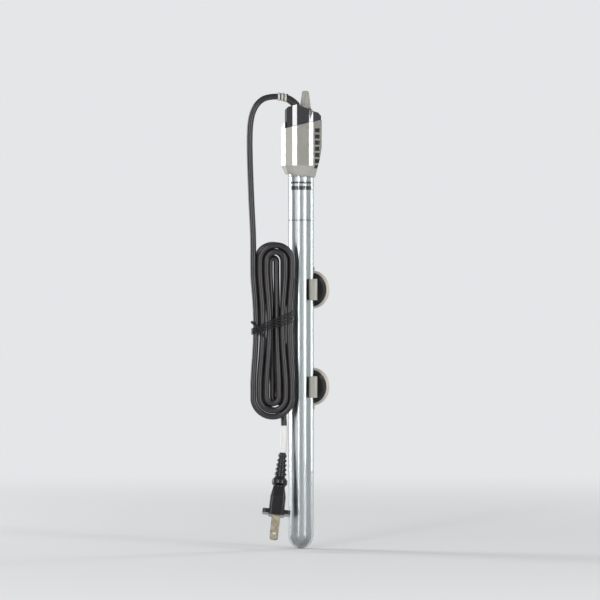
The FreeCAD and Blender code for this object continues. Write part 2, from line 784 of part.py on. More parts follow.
def knob():
    """Tapered grip with a rounded top, a blind bore and eight flutes."""
    body = new_body("knob")
    low = KNOB_SEAT + S.knob_gap
    top = low + S.knob_height
    corner = 1.3
    skirt = 1.6
    corners = [
        (S.spindle_radius, low),
        (S.knob_foot_radius, low),
        (S.knob_foot_radius, low + skirt),
        (S.knob_top_radius, top - corner),
        (S.knob_top_radius - corner, top),
        (ZERO, top),
        (ZERO, low + S.spindle_rise),
        (S.spindle_radius, low + S.spindle_rise),
    ]
    arcs = {3: (S.knob_top_radius - corner, top - corner, 1)}
    turn(body, corners, arcs=arcs, free={4: "y"})
    reach = S.knob_foot_radius + S.flute_radius * 0.1
    flute = rise(body, low + skirt, top, circles=[(S.flute_radius, reach)], kind="Pocket")
    around = body.newObject("PartDesign::PolarPattern", "knob_flutes")
    around.Originals = [flute]
    around.Axis = (flute.Profile[0], ["N_Axis"])
    around.Angle = 360
    around.Occurrences = 8
    body.Tip = around
    place(body, S.knob_x)
    return body


def spindle():
    """Spindle from the stopper up into the knob, with a groove for its retaining ring."""
    body = new_body("knob_spindle")
    low = STOPPER_TOP - S.spindle_sink + S.fit_gap
    top = KNOB_SEAT + S.knob_gap + S.spindle_rise
    groove_top = CAP_ROOF
    groove_low = groove_top - S.clip_ring
    neck = S.spindle_radius - 0.4
    corners = [
        (ZERO, low),
        (S.spindle_radius, low),
        (S.spindle_radius, groove_low),
        (neck, groove_low),
        (neck, groove_top),
        (S.spindle_radius, groove_top),
        (S.spindle_radius, top),
        (ZERO, top),
    ]
    turn(body, corners)
    place(body, S.knob_x)
    return body


def pointer():
    """Threaded pointer on the spindle, its arm running to the scale windows."""
    body = new_body("scale_pointer")
    inner = SPINDLE_BORE
    outer = inner + S.pointer_wall
    half = S.pointer_nut / 2
    turn(body, box_corners(inner, outer, -half, half))
    middle, along, outward = pod_frame()
    depth = (LENS_BACK + S.soft_gap).number
    tip = middle - outward * depth - V(S.knob_x.number, 0, 0)
    arm_half = S.pointer_width.number / 2
    side = V(-tip.y, tip.x, 0).normalize() * arm_half
    root = V(tip.x, tip.y, 0).normalize() * (inner.number + S.pointer_wall.number / 2)
    corners = [root - side, tip - side, tip + side, root + side]
    arm = S.pointer_arm / 2
    rise(body, -arm, arm, corners=[(q.x, q.y) for q in corners])
    place(body, S.knob_x, ZERO, POINTER_HEIGHT)
    return body


def swept(wire, profiles):
    """A solid swept along the wire through the round profiles."""
    shell = Part.BRepOffsetAPI.MakePipeShell(wire)
    for profile in profiles:
        shell.add(profile)
    shell.build()
    shell.makeSolid()
    return shell.shape()


def round_wire(centre, direction, radius):
    return Part.Wire([Part.makeCircle(radius, centre, direction)])


def gland_exit():
    """Outer end of the gland, where the cord leaves it."""
    turned = math.radians(GLAND_TILT)
    bend = S.gland_bend.number
    foot = gland_line()[0]
    return V(foot.x - bend * math.cos(turned), 0, foot.z + bend * (1 - math.sin(turned)))


def cord_gland():
    """Rubber gland: a root in the cap and a tapered bend with three grip rings."""
    foot, direction = gland_line()
    bend = S.gland_bend.number
    middle = foot - V(math.cos(math.radians(GLAND_TILT)), 0, math.sin(math.radians(GLAND_TILT))) * bend
    exit_point = gland_exit()

    def on_bend(share):
        angle = math.radians(GLAND_TILT + (90 - GLAND_TILT) * share)
        return middle + V(math.cos(angle), 0, math.sin(angle)) * bend, V(-math.sin(angle), 0, math.cos(angle))

    arc = Part.Arc(foot, on_bend(0.5)[0], exit_point).toShape()
    wide, tip = S.gland_radius.number, S.gland_tip.number
    profiles = [round_wire(foot, direction, wide), round_wire(exit_point, V(-1, 0, 0), tip)]
    shape = swept(Part.Wire([arc]), profiles)
    root = Part.makeCylinder(wide, S.gland_root.number, foot - direction * S.gland_root.number, direction)
    shape = shape.fuse(root)
    column = V(S.knob_x.number, 0, CAP_ROOF.number - 1)
    shape = shape.cut(Part.makeCylinder(GLAND_CLEAR.number + S.fit_gap.number, 40, column))
    ring = S.gland_ring.number
    for share in GLAND_RINGS:
        point, heading = on_bend(share)
        radius = wide + (tip - wide) * share
        band = Part.makeCylinder(radius + ring, GLAND_BAND, point - heading * (GLAND_BAND / 2), heading)
        shape = shape.fuse(band)
    return shape_piece("cord_gland", shape.removeSplitter())


def head_pieces():
    keep(stopper(), tube_seal(), head_shell(), scale_lens(), top_cap(), knob(), spindle(), pointer())
    inner = S.spindle_radius + S.fit_gap
    ring_low = CAP_ROOF
    ring = ring_piece("spindle_seal", inner, inner + S.ring_width - S.fit_gap, ring_low,
                      ring_low + S.ring_height, x=S.knob_x)
    keep(ring)
    neck = S.spindle_radius - 0.4
    keep(ring_piece("spindle_clip", neck, S.spindle_radius + 1.4, CAP_ROOF - S.clip_ring,
                    CAP_ROOF, x=S.knob_x))
    keep(cord_gland())
    lens = lamp_cutter("lamp_lens", 0, LAMP_DEPTH + 1)
    lens.Label = "lamp_lens"
    keep(lens)


# Clips and suction cups, drawn with the wall towards +X and then turned

LINER_BORE = S.tube_radius + S.fit_gap
LINER_RADIUS = LINER_BORE + S.liner_wall
CLIP_BORE = LINER_RADIUS + S.fit_gap
CLIP_RADIUS = CLIP_BORE + S.clip_wall
BUTTON_GAP = 0.35
PLATE_INNER = S.block_reach - S.plate_thick
BUTTON_OUTER = PLATE_INNER - 0.2


def opening_corners(wrap, reach):
    """The open side of a ring whose arms reach wrap degrees from +X."""
    rest = 180 - wrap.number
    half = reach * math.tan(math.radians(rest))
    return [(ZERO, ZERO), (-reach, half), (-reach, -half)]


def to_wall(body, z):
    """Turns a piece towards the wall and lifts it to its place on the tube."""
    bind(body, ".Placement.Rotation.Angle", S.clip_turn)
    place(body, ZERO, ZERO, z)
    return body


def open_ring(label, bore, radius, height, wrap):
    body = new_body(label)
    half = height / 2
    rise(body, -half, half, circles=[(radius,), (bore,)])
    rise(body, -half - 1, half + 1, corners=opening_corners(wrap, radius + 2), kind="Pocket")
    return body


def clip(label, z):
    """Spring clip with the slotted block that takes the cup's button."""
    body = new_body(label)
    half = S.clip_height / 2
    side = S.block_width / 2
    rise(body, -half, half, circles=[(CLIP_RADIUS,)])
    rise(body, -half, half, corners=box_corners(CLIP_BORE, S.block_reach, -side, side))
    rise(body, -half - 1, half + 1, circles=[(CLIP_BORE,)], kind="Pocket")
    corners = opening_corners(S.clip_wrap, CLIP_RADIUS + 2)
    rise(body, -half - 1, half + 1, corners=corners, kind="Pocket")
    room = S.button_radius + BUTTON_GAP
    inner = BUTTON_OUTER - S.button_thick - 0.2
    rise(body, -room, half + 1, corners=box_corners(inner, PLATE_INNER, -room, room), kind="Pocket")
    neck = S.stem_radius + BUTTON_GAP
    stem = box_corners(PLATE_INNER - 0.1, S.block_reach + 1, -neck, neck)
    rise(body, -neck, half + 1, corners=stem, kind="Pocket")
    return to_wall(body, z)


def cup(label, z, side):
    """Suction cup turned about its own axis, with a pull tab on the given side."""
    body = new_body(label)
    rim = S.cup_reach
    radius = S.cup_radius
    foot = S.block_reach + S.soft_gap
    depth = rim - foot
    skin = S.cup_skin
    corners = [
        (BUTTON_OUTER - S.button_thick, ZERO),
        (BUTTON_OUTER - S.button_thick, S.button_radius),
        (BUTTON_OUTER, S.button_radius),
        (BUTTON_OUTER, S.stem_radius),
        (foot, S.stem_radius),
        (foot, radius * 0.42),
        (foot + depth * 0.18, radius * 0.74),
        (foot + depth * 0.5, radius * 0.92),
        (rim - depth * 0.12, radius),
        (rim, radius),
        (rim, radius - skin),
        (foot + depth * 0.47 + skin, radius * 0.84),
        (foot + depth * 0.15 + skin, radius * 0.6),
        (foot + depth * 0.1 + skin, ZERO),
    ]
    turn(body, corners, axis="H_Axis")
    tab_low, tab_high = radius - skin / 2, radius + 3
    z0, z1 = (tab_low, tab_high) if side > 0 else (-tab_high, -tab_low)
    rise(body, z0, z1, corners=box_corners(rim - skin, rim - 0.1, sized(-2), sized(2)))
    return to_wall(body, z)


def clip_pieces():
    half = S.clip_spacing / 2
    for name, z, side in (("upper", half, 1), ("lower", -half, -1)):
        liner = open_ring(f"{name}_clip_liner", LINER_BORE, LINER_RADIUS, S.clip_height - 0.6, S.liner_wrap)
        keep(to_wall(liner, z), clip(f"{name}_clip", z), cup(f"{name}_cup", z, side))


# Mains cord: free lead, hank, tail, tie, label and plug

CORD_RADIUS = S.cord_diameter.number / 2
HANK_LOOPS = 3
HANK_X = S.hank_x.number
FRONT_Y = S.hank_front.number
BACK_Y = FRONT_Y + S.hank_layer.number
OUTER_RUN = S.hank_fold.number + S.hank_pitch.number * (HANK_LOOPS - 1)
TOP_Z = S.hank_top.number
BOTTOM_Z = S.hank_bottom.number
WAIST_Z = S.hank_waist.number
STRAIGHT = S.cord_diameter.number


def hank_start():
    return V(HANK_X - OUTER_RUN, FRONT_Y, TOP_Z + STRAIGHT)


def hank_end():
    return V(HANK_X - OUTER_RUN, BACK_Y, TOP_Z - STRAIGHT)


LEAD_ROUTE = [
    (-24.6, 0.0, 181.3),
    (-31.4, -0.5, 177.6),
    (-35.8, -1.5, 170.8),
    (-37.9, -3.0, 161.5),
    (-38.4, -5.2, 149.0),
    (-38.1, -8.3, 133.5),
    (-37.5, -11.6, 117.0),
    (-36.8, -14.6, 100.5),
    (-36.0, -16.8, 85.5),
    (-35.5, -17.4, 73.5),
]
TAIL_ROUTE = [
    (-35.5, -12.4, 41.0),
    (-34.2, -9.0, 28.0),
    (-31.2, -7.0, 12.0),
    (-26.6, -6.7, -7.0),
    (-21.4, -6.6, -26.0),
    (-10.6, -7.3, -58.6),
]
PLUG_TOP = V(-13.6, -12.2, -86.6)


def lead_points():
    """The free lead's route from the gland to the hank, its ends square to both."""
    exit_point = gland_exit()
    points = [V(*p) for p in LEAD_ROUTE]
    points[0] = V(points[0].x, exit_point.y, exit_point.z)
    start = hank_start()
    points[-1] = V(start.x, start.y, points[-1].z)
    return [exit_point] + points + [start]


def tail_points():
    """The tail's route from the hank to the plug."""
    end = hank_end()
    points = [V(*p) for p in TAIL_ROUTE]
    points[0] = V(end.x, end.y, points[0].z)
    return [end] + points + [PLUG_TOP]


def rounded_path(name, points):
    """Straight runs joined by tangent arcs as large as the runs allow."""
    edges = []
    radii = []
    here = points[0]
    for before, corner, after in zip(points, points[1:], points[2:]):
        back = (before - corner).normalize()
        ahead = (after - corner).normalize()
        half_turn = (math.pi - back.getAngle(ahead)) / 2
        reach = 0.45 * min((before - corner).Length, (after - corner).Length)
        radius = reach / math.tan(half_turn)
        radii.append(radius)
        start = corner + back * reach
        stop = corner + ahead * reach
        inward = (back + ahead).normalize()
        middle = corner + inward * (radius / math.cos(half_turn) - radius)
        edges.append(Part.LineSegment(here, start).toShape())
        edges.append(Part.Arc(start, middle, stop).toShape())
        here = stop
    edges.append(Part.LineSegment(here, points[-1]).toShape())
    print(name, "radii", " ".join(f"{r:.1f}" for r in radii))
    return Part.Wire(edges)


def tube_on(name, wire, start, heading):
    """A solid cord along the wire; its volume is set against section times length."""
    shape = swept(wire, [round_wire(start, heading, CORD_RADIUS)])
    want = math.pi * CORD_RADIUS**2 * wire.Length
    print(f"{name}: length {wire.Length:.1f}, volume {shape.Volume:.1f} of {want:.1f}")
    return shape


def s_bend(start, stop, heading):
    """Two equal arcs that shift a run sideways, both ends along the heading."""
    step = stop - start
    along = step.dot(heading)
    aside = step - heading * along
    shift = aside.Length
    if shift < 1e-6:
        return [Part.LineSegment(start, stop).toShape()]
    aside.normalize()
    half = math.atan2(shift, along)
    radius = (along**2 + shift**2) / (4 * shift)
    rise_part = heading * (radius * math.sin(half))
    side_part = aside * (radius * (1 - math.cos(half)))
    centre = (start + stop) / 2
    first = Part.Arc(start, start + rise_part + side_part, centre)
    second = Part.Arc(centre, stop - rise_part - side_part, stop)
    return [first.toShape(), second.toShape()]


def hank_wire():
    """The hank's centreline: loops spiral in, climb a layer along a run, spiral out."""
    pitch = S.hank_pitch.number
    draw = S.hank_draw.number
    inward = [OUTER_RUN - pitch * k for k in range(HANK_LOOPS)]
    runs = []
    for offset in inward:
        runs.append((-offset, FRONT_Y, FRONT_Y))
        runs.append((offset, FRONT_Y, FRONT_Y))
    innermost = inward[-1]
    runs[-1] = (innermost, FRONT_Y, BACK_Y)
    runs.append((-innermost, BACK_Y, BACK_Y))
    for offset in reversed(inward[:-1]):
        runs.append((offset, BACK_Y, BACK_Y))
        runs.append((-offset, BACK_Y, BACK_Y))
    edges = []
    here = hank_start()
    for number, (x, y0, y1) in enumerate(runs):
        down = x < 0
        z0, z1 = (TOP_Z, BOTTOM_Z) if down else (BOTTOM_Z, TOP_Z)
        heading = V(0, 0, -1) if down else V(0, 0, 1)
        side = 1 if x > 0 else -1
        start = V(HANK_X + x, y0, z0)
        waist = V(HANK_X + x - side * draw, (y0 + y1) / 2, WAIST_Z)
        stop = V(HANK_X + x, y1, z1)
        if number == 0:
            edges.append(Part.LineSegment(here, start).toShape())
        else:
            middle = (here + start) / 2
            radius = (start - here).Length / 2
            middle.z += radius if down else -radius
            edges.append(Part.Arc(here, middle, start).toShape())
        if number == len(runs) - 1:
            edges.append(Part.LineSegment(start, hank_end()).toShape())
            break
        edges += s_bend(start, waist, heading)
        edges += s_bend(waist, stop, heading)
        here = stop
    return Part.Wire(edges)


def least_gap(name, wire):
    """Prints the least space between the cord and itself, measured on points."""
    step = 1.0
    apart = int(4 * S.cord_diameter.number / step)
    points = [tuple(p) for p in wire.discretize(Distance=step)]
    least = min(
        math.dist(p, q)
        for i, p in enumerate(points)
        for q in points[i + apart:]
    )
    print(f"{name}: least gap to itself {least - S.cord_diameter.number:.2f}")


def at_height(points, z):
    """Where a falling route passes the height z."""
    for above, below in zip(points, points[1:]):
        if above.z >= z >= below.z:
            return above + (below - above) * ((above.z - z) / (above.z - below.z))
    raise ValueError(f"the route does not pass {z}")


def cord_tie():
    """Wire tie round the hank's waist: two turns and a twisted end."""
    drawn = OUTER_RUN - S.hank_draw.number
    tail = at_height(tail_points(), WAIST_Z)
    hull = [
        V(HANK_X - drawn, FRONT_Y, 0),
        V(HANK_X + drawn, FRONT_Y, 0),
        V(HANK_X + drawn, BACK_Y, 0),
        V(tail.x, tail.y + 0.4, 0),
        V(HANK_X - drawn, FRONT_Y, 0),
    ]
    radius = S.tie_radius.number
    away = CORD_RADIUS + S.tie_gap.number + radius
    loop = Part.makePolygon(hull).makeOffset2D(away)
    low = min(v.Point.y for v in loop.Vertexes)
    turns = []
    for z in (WAIST_Z - radius * 1.2, WAIST_Z + radius * 1.2):
        path = loop.copy()
        path.translate(V(0, 0, z))
        edge = path.OrderedEdges[0]
        start = edge.valueAt(edge.FirstParameter)
        heading = edge.tangentAt(edge.FirstParameter)
        turns.append(swept(path, [round_wire(start, heading, radius)]))
    knot = V(HANK_X - drawn * 0.6, low - radius * 1.4, WAIST_Z)
    twist = Part.makeCylinder(radius * 1.6, 7.0, knot, V(-0.45, -0.35, -0.82))
    ball = Part.makeSphere(radius * 2.2, knot)
    shape = turns[0].fuse([turns[1], ball, twist])
    return shape_piece("cord_tie", shape)


def plug_turn():
    """Rotation that sets the plug's upright axis along the end of the cord."""
    points = tail_points()
    return FreeCAD.Rotation(UP, (points[-2] - points[-1]).normalize())


def at_plug(piece):
    piece.Placement = FreeCAD.Placement(PLUG_TOP, plug_turn())
    return piece


def plug_boot():
    """Ribbed boot that tapers from the cord to the plug, with a finger collar."""
    body = new_body("plug_boot")
    ribs = 5
    rib = S.boot_length * 0.68 / ribs
    corners = [(ZERO, ZERO), (S.boot_top, ZERO)]
    for k in range(ribs):
        top = -rib * k
        wide = S.boot_top + (S.boot_foot - S.boot_top) * ((k + 1) / ribs)
        corners += [
            (wide, top - rib * 0.2),
            (wide, top - rib * 0.6),
            (wide - 0.7, top - rib * 0.7),
            (wide - 0.7, top - rib),
        ]
    low = -S.boot_length
    corners += [
        (S.boot_foot, low + 7.0),
        (S.collar_radius, low + 5.2),
        (S.collar_radius, low + 2.6),
        (S.boot_foot, low + 1.0),
        (S.boot_foot, low),
        (ZERO, low),
    ]
    turn(body, corners)
    return at_plug(body)


def rounded_plan(x, y, radius):
    """A rectangle of half sizes x and y with rounded corners, ready for an outline."""
    cx, cy = x - radius, y - radius
    corners = [(x, -cy), (x, cy), (cx, y), (-cx, y), (-x, cy), (-x, -cy), (-cx, -y), (cx, -y)]
    arcs = {1: (cx, cy, 1), 3: (-cx, cy, 1), 5: (-cx, -cy, 1), 7: (cx, -cy, 1)}
    return {"corners": corners, "arcs": arcs, "free": {2: "y", 4: "x", 6: "y", 0: "x"}}


def plug_body():
    """Moulded plug: tapered shoulders, a straight body and a winged flange."""
    body = new_body("plug_body")
    top = -S.boot_length
    belt = top - S.plug_body * 0.45
    flange_top = top - S.plug_body
    low = flange_top - S.plug_flange
    x, y = S.plug_thick / 2, S.plug_wide / 2
    rise(body, flange_top, belt, **rounded_plan(x, y, S.plug_round))
    shoulder = rise(body, belt, top, **rounded_plan(x, y, S.plug_round))
    shoulder.TaperAngle = -12
    rise(body, low, flange_top, **rounded_plan(x, y - 0.5, S.plug_round))
    wing_low = flange_top - S.plug_flange * 0.75
    wing_top = flange_top - S.plug_flange * 0.05
    rise(body, wing_low, wing_top, **rounded_plan(S.flange_wide / 2, y - 1.5, S.plug_round))
    return at_plug(body)


def plug_blades():
    """Two flat blades with bevelled tips and a round hole each."""
    low = -(S.boot_length + S.plug_body + S.plug_flange).number
    half = S.blade_width.number / 2
    thick = S.blade_thick.number
    length = S.blade_length.number
    tip = 1.2
    outline = [(-half, 0), (half, 0), (half, -length + tip), (half - tip, -length),
               (tip - half, -length), (-half, -length + tip), (-half, 0)]
    blades = []
    for side in (-1, 1):
        y = side * S.blade_pitch.number / 2 - thick / 2
        face = Part.Face(Part.makePolygon([V(px, y, low + pz) for px, pz in outline]))
        blade = face.extrude(V(0, thick, 0))
        hole = Part.makeCylinder(1.6, thick + 2, V(0, y - 1, low - length + 4.4), V(0, 1, 0))
        blades.append(blade.cut(hole))
    return at_plug(shape_piece("plug_blades", Part.makeCompound(blades)))


def cord_label():
    """Blank sleeve label on the straight end of the tail."""
    inner = CORD_RADIUS + S.fit_gap.number
    outer = inner + S.label_wall.number
    z0 = S.label_start.number
    base = V(0, 0, z0)
    sleeve = Part.makeCylinder(outer, S.label_length.number, base)
    sleeve = sleeve.cut(Part.makeCylinder(inner, S.label_length.number, base))
    return at_plug(shape_piece("cord_label", sleeve))


def cord_pieces():
    lead = lead_points()
    lead_line = rounded_path("cord_lead", lead)
    keep(shape_piece("cord_lead", tube_on("cord_lead", lead_line, lead[0], lead[1] - lead[0])))
    hank = hank_wire()
    least_gap("cord_hank", hank)
    keep(shape_piece("cord_hank", tube_on("cord_hank", hank, hank_start(), V(0, 0, -1))))
    tail = tail_points()
    tail_line = rounded_path("cord_tail", tail)
    keep(shape_piece("cord_tail", tube_on("cord_tail", tail_line, tail[0], tail[1] - tail[0])))
    keep(cord_tie(), cord_label(), plug_boot(), plug_body(), plug_blades())


inside_pieces()
thermostat_pieces()
head_pieces()
clip_pieces()
cord_pieces()
doc.recompute()

faults = []
for thing in doc.Objects:
    if "Invalid" in thing.State or "Error" in thing.State:
        faults.append(f"{thing.Name} {thing.State}")
for piece in PIECES:
    if piece.Shape.isNull() or not piece.Shape.isValid() or not piece.Shape.Solids:
        faults.append(f"{piece.Label} has no sound solid")
if faults:
    raise RuntimeError("; ".join(faults))

for piece in PIECES:
    piece.Shape.exportStep(f"parts/{piece.Label}.step")
    size = piece.Shape.BoundBox
    print(f"{piece.Label}: {len(piece.Shape.Solids)} solid, {piece.Shape.Volume:.1f} mm3, "
          f"{size.XLength:.1f} x {size.YLength:.1f} x {size.ZLength:.1f}")
print(len(PIECES), "pieces")
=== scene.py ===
import math

import bpy
import numpy as np
from bpy.props import FloatProperty, FloatVectorProperty, IntProperty, PointerProperty
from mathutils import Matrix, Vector


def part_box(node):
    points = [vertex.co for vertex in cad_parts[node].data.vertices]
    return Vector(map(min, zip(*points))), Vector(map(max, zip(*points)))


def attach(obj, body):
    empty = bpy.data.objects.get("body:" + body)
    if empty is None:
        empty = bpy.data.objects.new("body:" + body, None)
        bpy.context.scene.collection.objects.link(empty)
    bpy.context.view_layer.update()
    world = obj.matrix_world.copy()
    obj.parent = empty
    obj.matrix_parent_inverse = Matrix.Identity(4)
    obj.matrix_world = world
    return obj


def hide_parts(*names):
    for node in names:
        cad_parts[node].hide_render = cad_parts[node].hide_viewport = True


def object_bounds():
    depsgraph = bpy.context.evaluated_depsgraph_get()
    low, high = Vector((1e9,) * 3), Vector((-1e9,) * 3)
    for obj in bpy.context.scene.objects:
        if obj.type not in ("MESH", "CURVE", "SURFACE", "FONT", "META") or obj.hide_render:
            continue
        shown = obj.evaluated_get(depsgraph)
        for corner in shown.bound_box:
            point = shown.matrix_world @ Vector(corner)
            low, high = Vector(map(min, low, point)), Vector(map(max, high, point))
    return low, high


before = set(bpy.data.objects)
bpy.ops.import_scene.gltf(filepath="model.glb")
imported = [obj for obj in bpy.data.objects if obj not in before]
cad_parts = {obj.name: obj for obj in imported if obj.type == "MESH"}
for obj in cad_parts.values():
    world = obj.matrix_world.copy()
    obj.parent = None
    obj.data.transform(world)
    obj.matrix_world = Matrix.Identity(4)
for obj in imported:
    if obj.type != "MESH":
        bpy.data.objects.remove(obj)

bl_info = {
    "name": "Aquarium heater",
    "version": (1, 0, 0),
    "blender": (4, 5, 0),
    "location": "View3D > Sidebar > Heater",
    "description": "Dresses a submersible aquarium heater: cord, tie, label, finishes and lights",
    "category": "Object",
}

# Sizes in metres, and directions, that follow the part's source

CLIP_ALONG = (0.882948, -0.469472, 0.0)
CLIP_HALF = 0.03655
FACET_OUT = (0.728, -0.686, 0.0)
FACET_ALONG = (0.686, 0.728, 0.0)
FACET_REACH = 0.01245 * 0.728 + 0.00795 * 0.686
FACET_MIDDLE = 0.01245 * 0.686 - 0.00795 * 0.728
NOTCH_HEIGHTS = (0.1326, 0.1280)
NOTCH_HALF_HEIGHT = 0.00155
NOTCH_HALF_WIDTH = 0.0028
GLAND_RINGS = (-0.0163, -0.0138, -0.0114)
KNOB_X = 0.00345
KNOB_FOOT_RADIUS = 0.0042
KNOB_TOP_RADIUS = 0.0026
KNOB_BORE = 0.00165
KNOB_BORE_DEPTH = 0.0071

# Sizes in metres of what only the scene shows; a band is its middle, half height and fade

# Radius from a cup's middle at which the painted highlight on its lip begins
CUP_LIP_HIGHLIGHT = 0.0126
MASK_FADE = 0.0001
SLEEVE_BANDS = ((0.1166, 0.0006, 0.0009), (0.1126, 0.0012, 0.0017))
LEVEL_LINE_HEIGHT = 0.0885
KNOB_FLUTES = 12
KNOB_FLUTE_DEPTH = 0.00045
KNOB_SKIRT = 0.0016
KNOB_CORNER = 0.0013
KNOB_EDGE = 0.0002
CAD_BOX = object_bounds()


def linear(code):
    """Turns an sRGB hex colour into linear red, green and blue."""
    channels = [int(code[i:i + 2], 16) / 255 for i in (0, 2, 4)]
    return tuple(c / 12.92 if c <= 0.04045 else ((c + 0.055) / 1.055) ** 2.4 for c in channels)


# Cord route in metres, as in the part's source

CORD_EXIT = (-0.0172036, 0.0, 0.1812964)
LEAD_ROUTE = [
    CORD_EXIT,
    (-0.0246, 0.0, 0.1813),
    (-0.0314, -0.0005, 0.1776),
    (-0.0358, -0.0015, 0.1708),
    (-0.0379, -0.0030, 0.1615),
    (-0.0384, -0.0052, 0.1490),
    (-0.0381, -0.0083, 0.1335),
    (-0.0375, -0.0116, 0.1170),
    (-0.0368, -0.0146, 0.1005),
    (-0.0360, -0.0168, 0.0855),
    (-0.0355, -0.0174, 0.0735),
]
TAIL_ROUTE = [
    (-0.0332, -0.0124, 0.0410),
    (-0.0334, -0.0098, 0.0280),
    (-0.0312, -0.0072, 0.0120),
    (-0.0266, -0.0067, -0.0070),
    (-0.0214, -0.0066, -0.0260),
    (-0.0106, -0.0073, -0.0586),
    (-0.0136, -0.0122, -0.0866),
]
HANK_X = -0.0210
HANK_FRONT = -0.0174
HANK_LAYER = 0.0050
HANK_TOP = 0.0576
HANK_BOTTOM = -0.0438
HANK_WAIST = 0.0107
HANK_HALF = 0.0145
FOLD_POINTS = 6

# Tie: tilt across the hank, more tilt and more height (in wire radii) from turn to turn,
# and the heading and length of each twisted end

TIE_TILT = 0.0052
TIE_FAN = 0.0006
TIE_PITCH = 3.4
TIE_ENDS = (
    ((-0.75, -0.12, 0.6), 0.0088),
    ((0.35, -0.1, -0.9), 0.0060),
)

# Stage: each lamp is its name, azimuth in degrees from the camera's side, distance, width,
# height and radiance

LAMPS = (
    ("left_box", -40, 1.6, 0.9, 1.7, 1.0),
    ("left_strip", -20.6, 1.5, 0.16, 1.5, 9.0),
    ("right_box", 38, 1.6, 1.1, 1.7, 0.9),
    ("right_strip", 43.6, 1.5, 0.16, 1.5, 9.0),
    ("left_rim", -117, 1.3, 0.4, 1.5, 7.0),
    ("right_rim", 128, 1.3, 0.3, 1.5, 4.0),
)
LAMP_HEIGHT = 0.25
LAMP_AIM = (0, 0, 0.02)
FLOOR_RADIUS = 12.0
FLOOR_FADE = (0.25, 1.3)
CAMERA_X = -0.0006
CAMERA_HEIGHT = 0.0287


class HeaterSizes(bpy.types.PropertyGroup):
    """Sizes that a user may change."""

    cord_diameter: FloatProperty(
        name="Cord diameter", description="Outer diameter of the mains cord",
        default=0.0045, min=0.002, max=0.009, unit="LENGTH", subtype="DISTANCE")
    tie_wire: FloatProperty(
        name="Tie wire", description="Radius of the coated tie wire",
        default=0.00055, min=0.0002, max=0.0015, unit="LENGTH", subtype="DISTANCE")
    tie_turns: IntProperty(
        name="Tie turns", description="Turns of the tie round the hank", default=4, min=1, max=6)
    label_wall: FloatProperty(
        name="Label wall", description="Thickness of the sleeve label on the cord",
        default=0.00045, min=0.0001, max=0.001, unit="LENGTH", subtype="DISTANCE")
    label_length: FloatProperty(
        name="Label length", description="Length of the sleeve label on the cord",
        default=0.0204, min=0.005, max=0.03, unit="LENGTH", subtype="DISTANCE")
    edge_break: FloatProperty(
        name="Edge break", description="Rounding of the moulded edges",
        default=0.00035, min=0.0, max=0.001, unit="LENGTH", subtype="DISTANCE")
    camera_distance: FloatProperty(
        name="Camera distance", description="Camera in front of the tube's axis",
        default=3.0, min=1.0, max=8.0, unit="LENGTH", subtype="DISTANCE")
    picture_width: FloatProperty(
        name="Picture width", description="Width of the view at the tube's axis",
        default=0.45, min=0.2, max=1.0, unit="LENGTH", subtype="DISTANCE")


def colour(name, description, code):
    return FloatVectorProperty(
        name=name, description=description, default=linear(code), size=3, min=0, max=1, subtype="COLOR")


class HeaterColours(bpy.types.PropertyGroup):
    """Colours that a user may change."""

    shell: colour("Shell", "Metallised shell of the head", "b4b2aa")
    cap: colour("Cap", "Smoked cap of the head", "2c2c31")
    knob: colour("Knob", "Turning knob", "a6a19a")
    clip: colour("Clip", "Suction clips", "a9a89f")
    rubber: colour("Rubber", "Cups, liners and seals", "202022")
    # Painted highlight on the thin lip of the cups
    cup_lip_highlight: colour("Cup lip", "Thin lip of the cups", "c9c2b5")
    cord: colour("Cord", "Jacket of the mains cord", "2e2b2d")
    plug: colour("Plug", "Moulded plug and boot", "1d1c1e")
    blade: colour("Blade", "Plated plug blades", "cdc3ad")
    label: colour("Label", "Blank sleeve label", "e9e9e6")
    floor: colour("Floor", "Paper floor", "f2f3f4")
    backdrop: colour("Backdrop", "Backdrop round the floor", "e4e6e8")


def sizes():
    return bpy.context.scene.heater_sizes


def colours():
    return bpy.context.scene.heater_colours


# Meshes worked out on a grid

def mesh_object(name, points, faces):
    """A smooth-shaded mesh, linked to the scene."""
    mesh = bpy.data.meshes.new(name)
    mesh.from_pydata(points.reshape(-1, 3).tolist(), [], faces)
    mesh.polygons.foreach_set("use_smooth", np.ones(len(faces), dtype=bool))
    mesh.update()
    piece = bpy.data.objects.new(name, mesh)
    bpy.context.scene.collection.objects.link(piece)
    return piece


def points_of(mesh):
    """The mesh's vertices, one to a row."""
    flat = np.empty(len(mesh.vertices) * 3)
    mesh.vertices.foreach_get("co", flat)
    return flat.reshape(-1, 3)


def grid_object(name, points, closed_u=False, closed_v=False, caps=False):
    """A surface through an array of points, rows by columns by xyz.

    Face (i, j) joins the points (i, j), (i, j+1), (i+1, j+1), (i+1, j), and a closed
    direction wraps round to its first row or column. Caps close the first and last row.
    """
    rows, columns = points.shape[:2]
    index = np.arange(rows * columns).reshape(rows, columns)
    if closed_u:
        index = np.vstack([index, index[:1]])
    if closed_v:
        index = np.hstack([index, index[:, :1]])
    quads = np.stack([index[:-1, :-1], index[:-1, 1:], index[1:, 1:], index[1:, :-1]], axis=-1)
    faces = quads.reshape(-1, 4).tolist()
    if caps:
        faces.append(np.arange(columns)[::-1].tolist())
        faces.append((np.arange(columns) + (rows - 1) * columns).tolist())
    return mesh_object(name, points, faces)


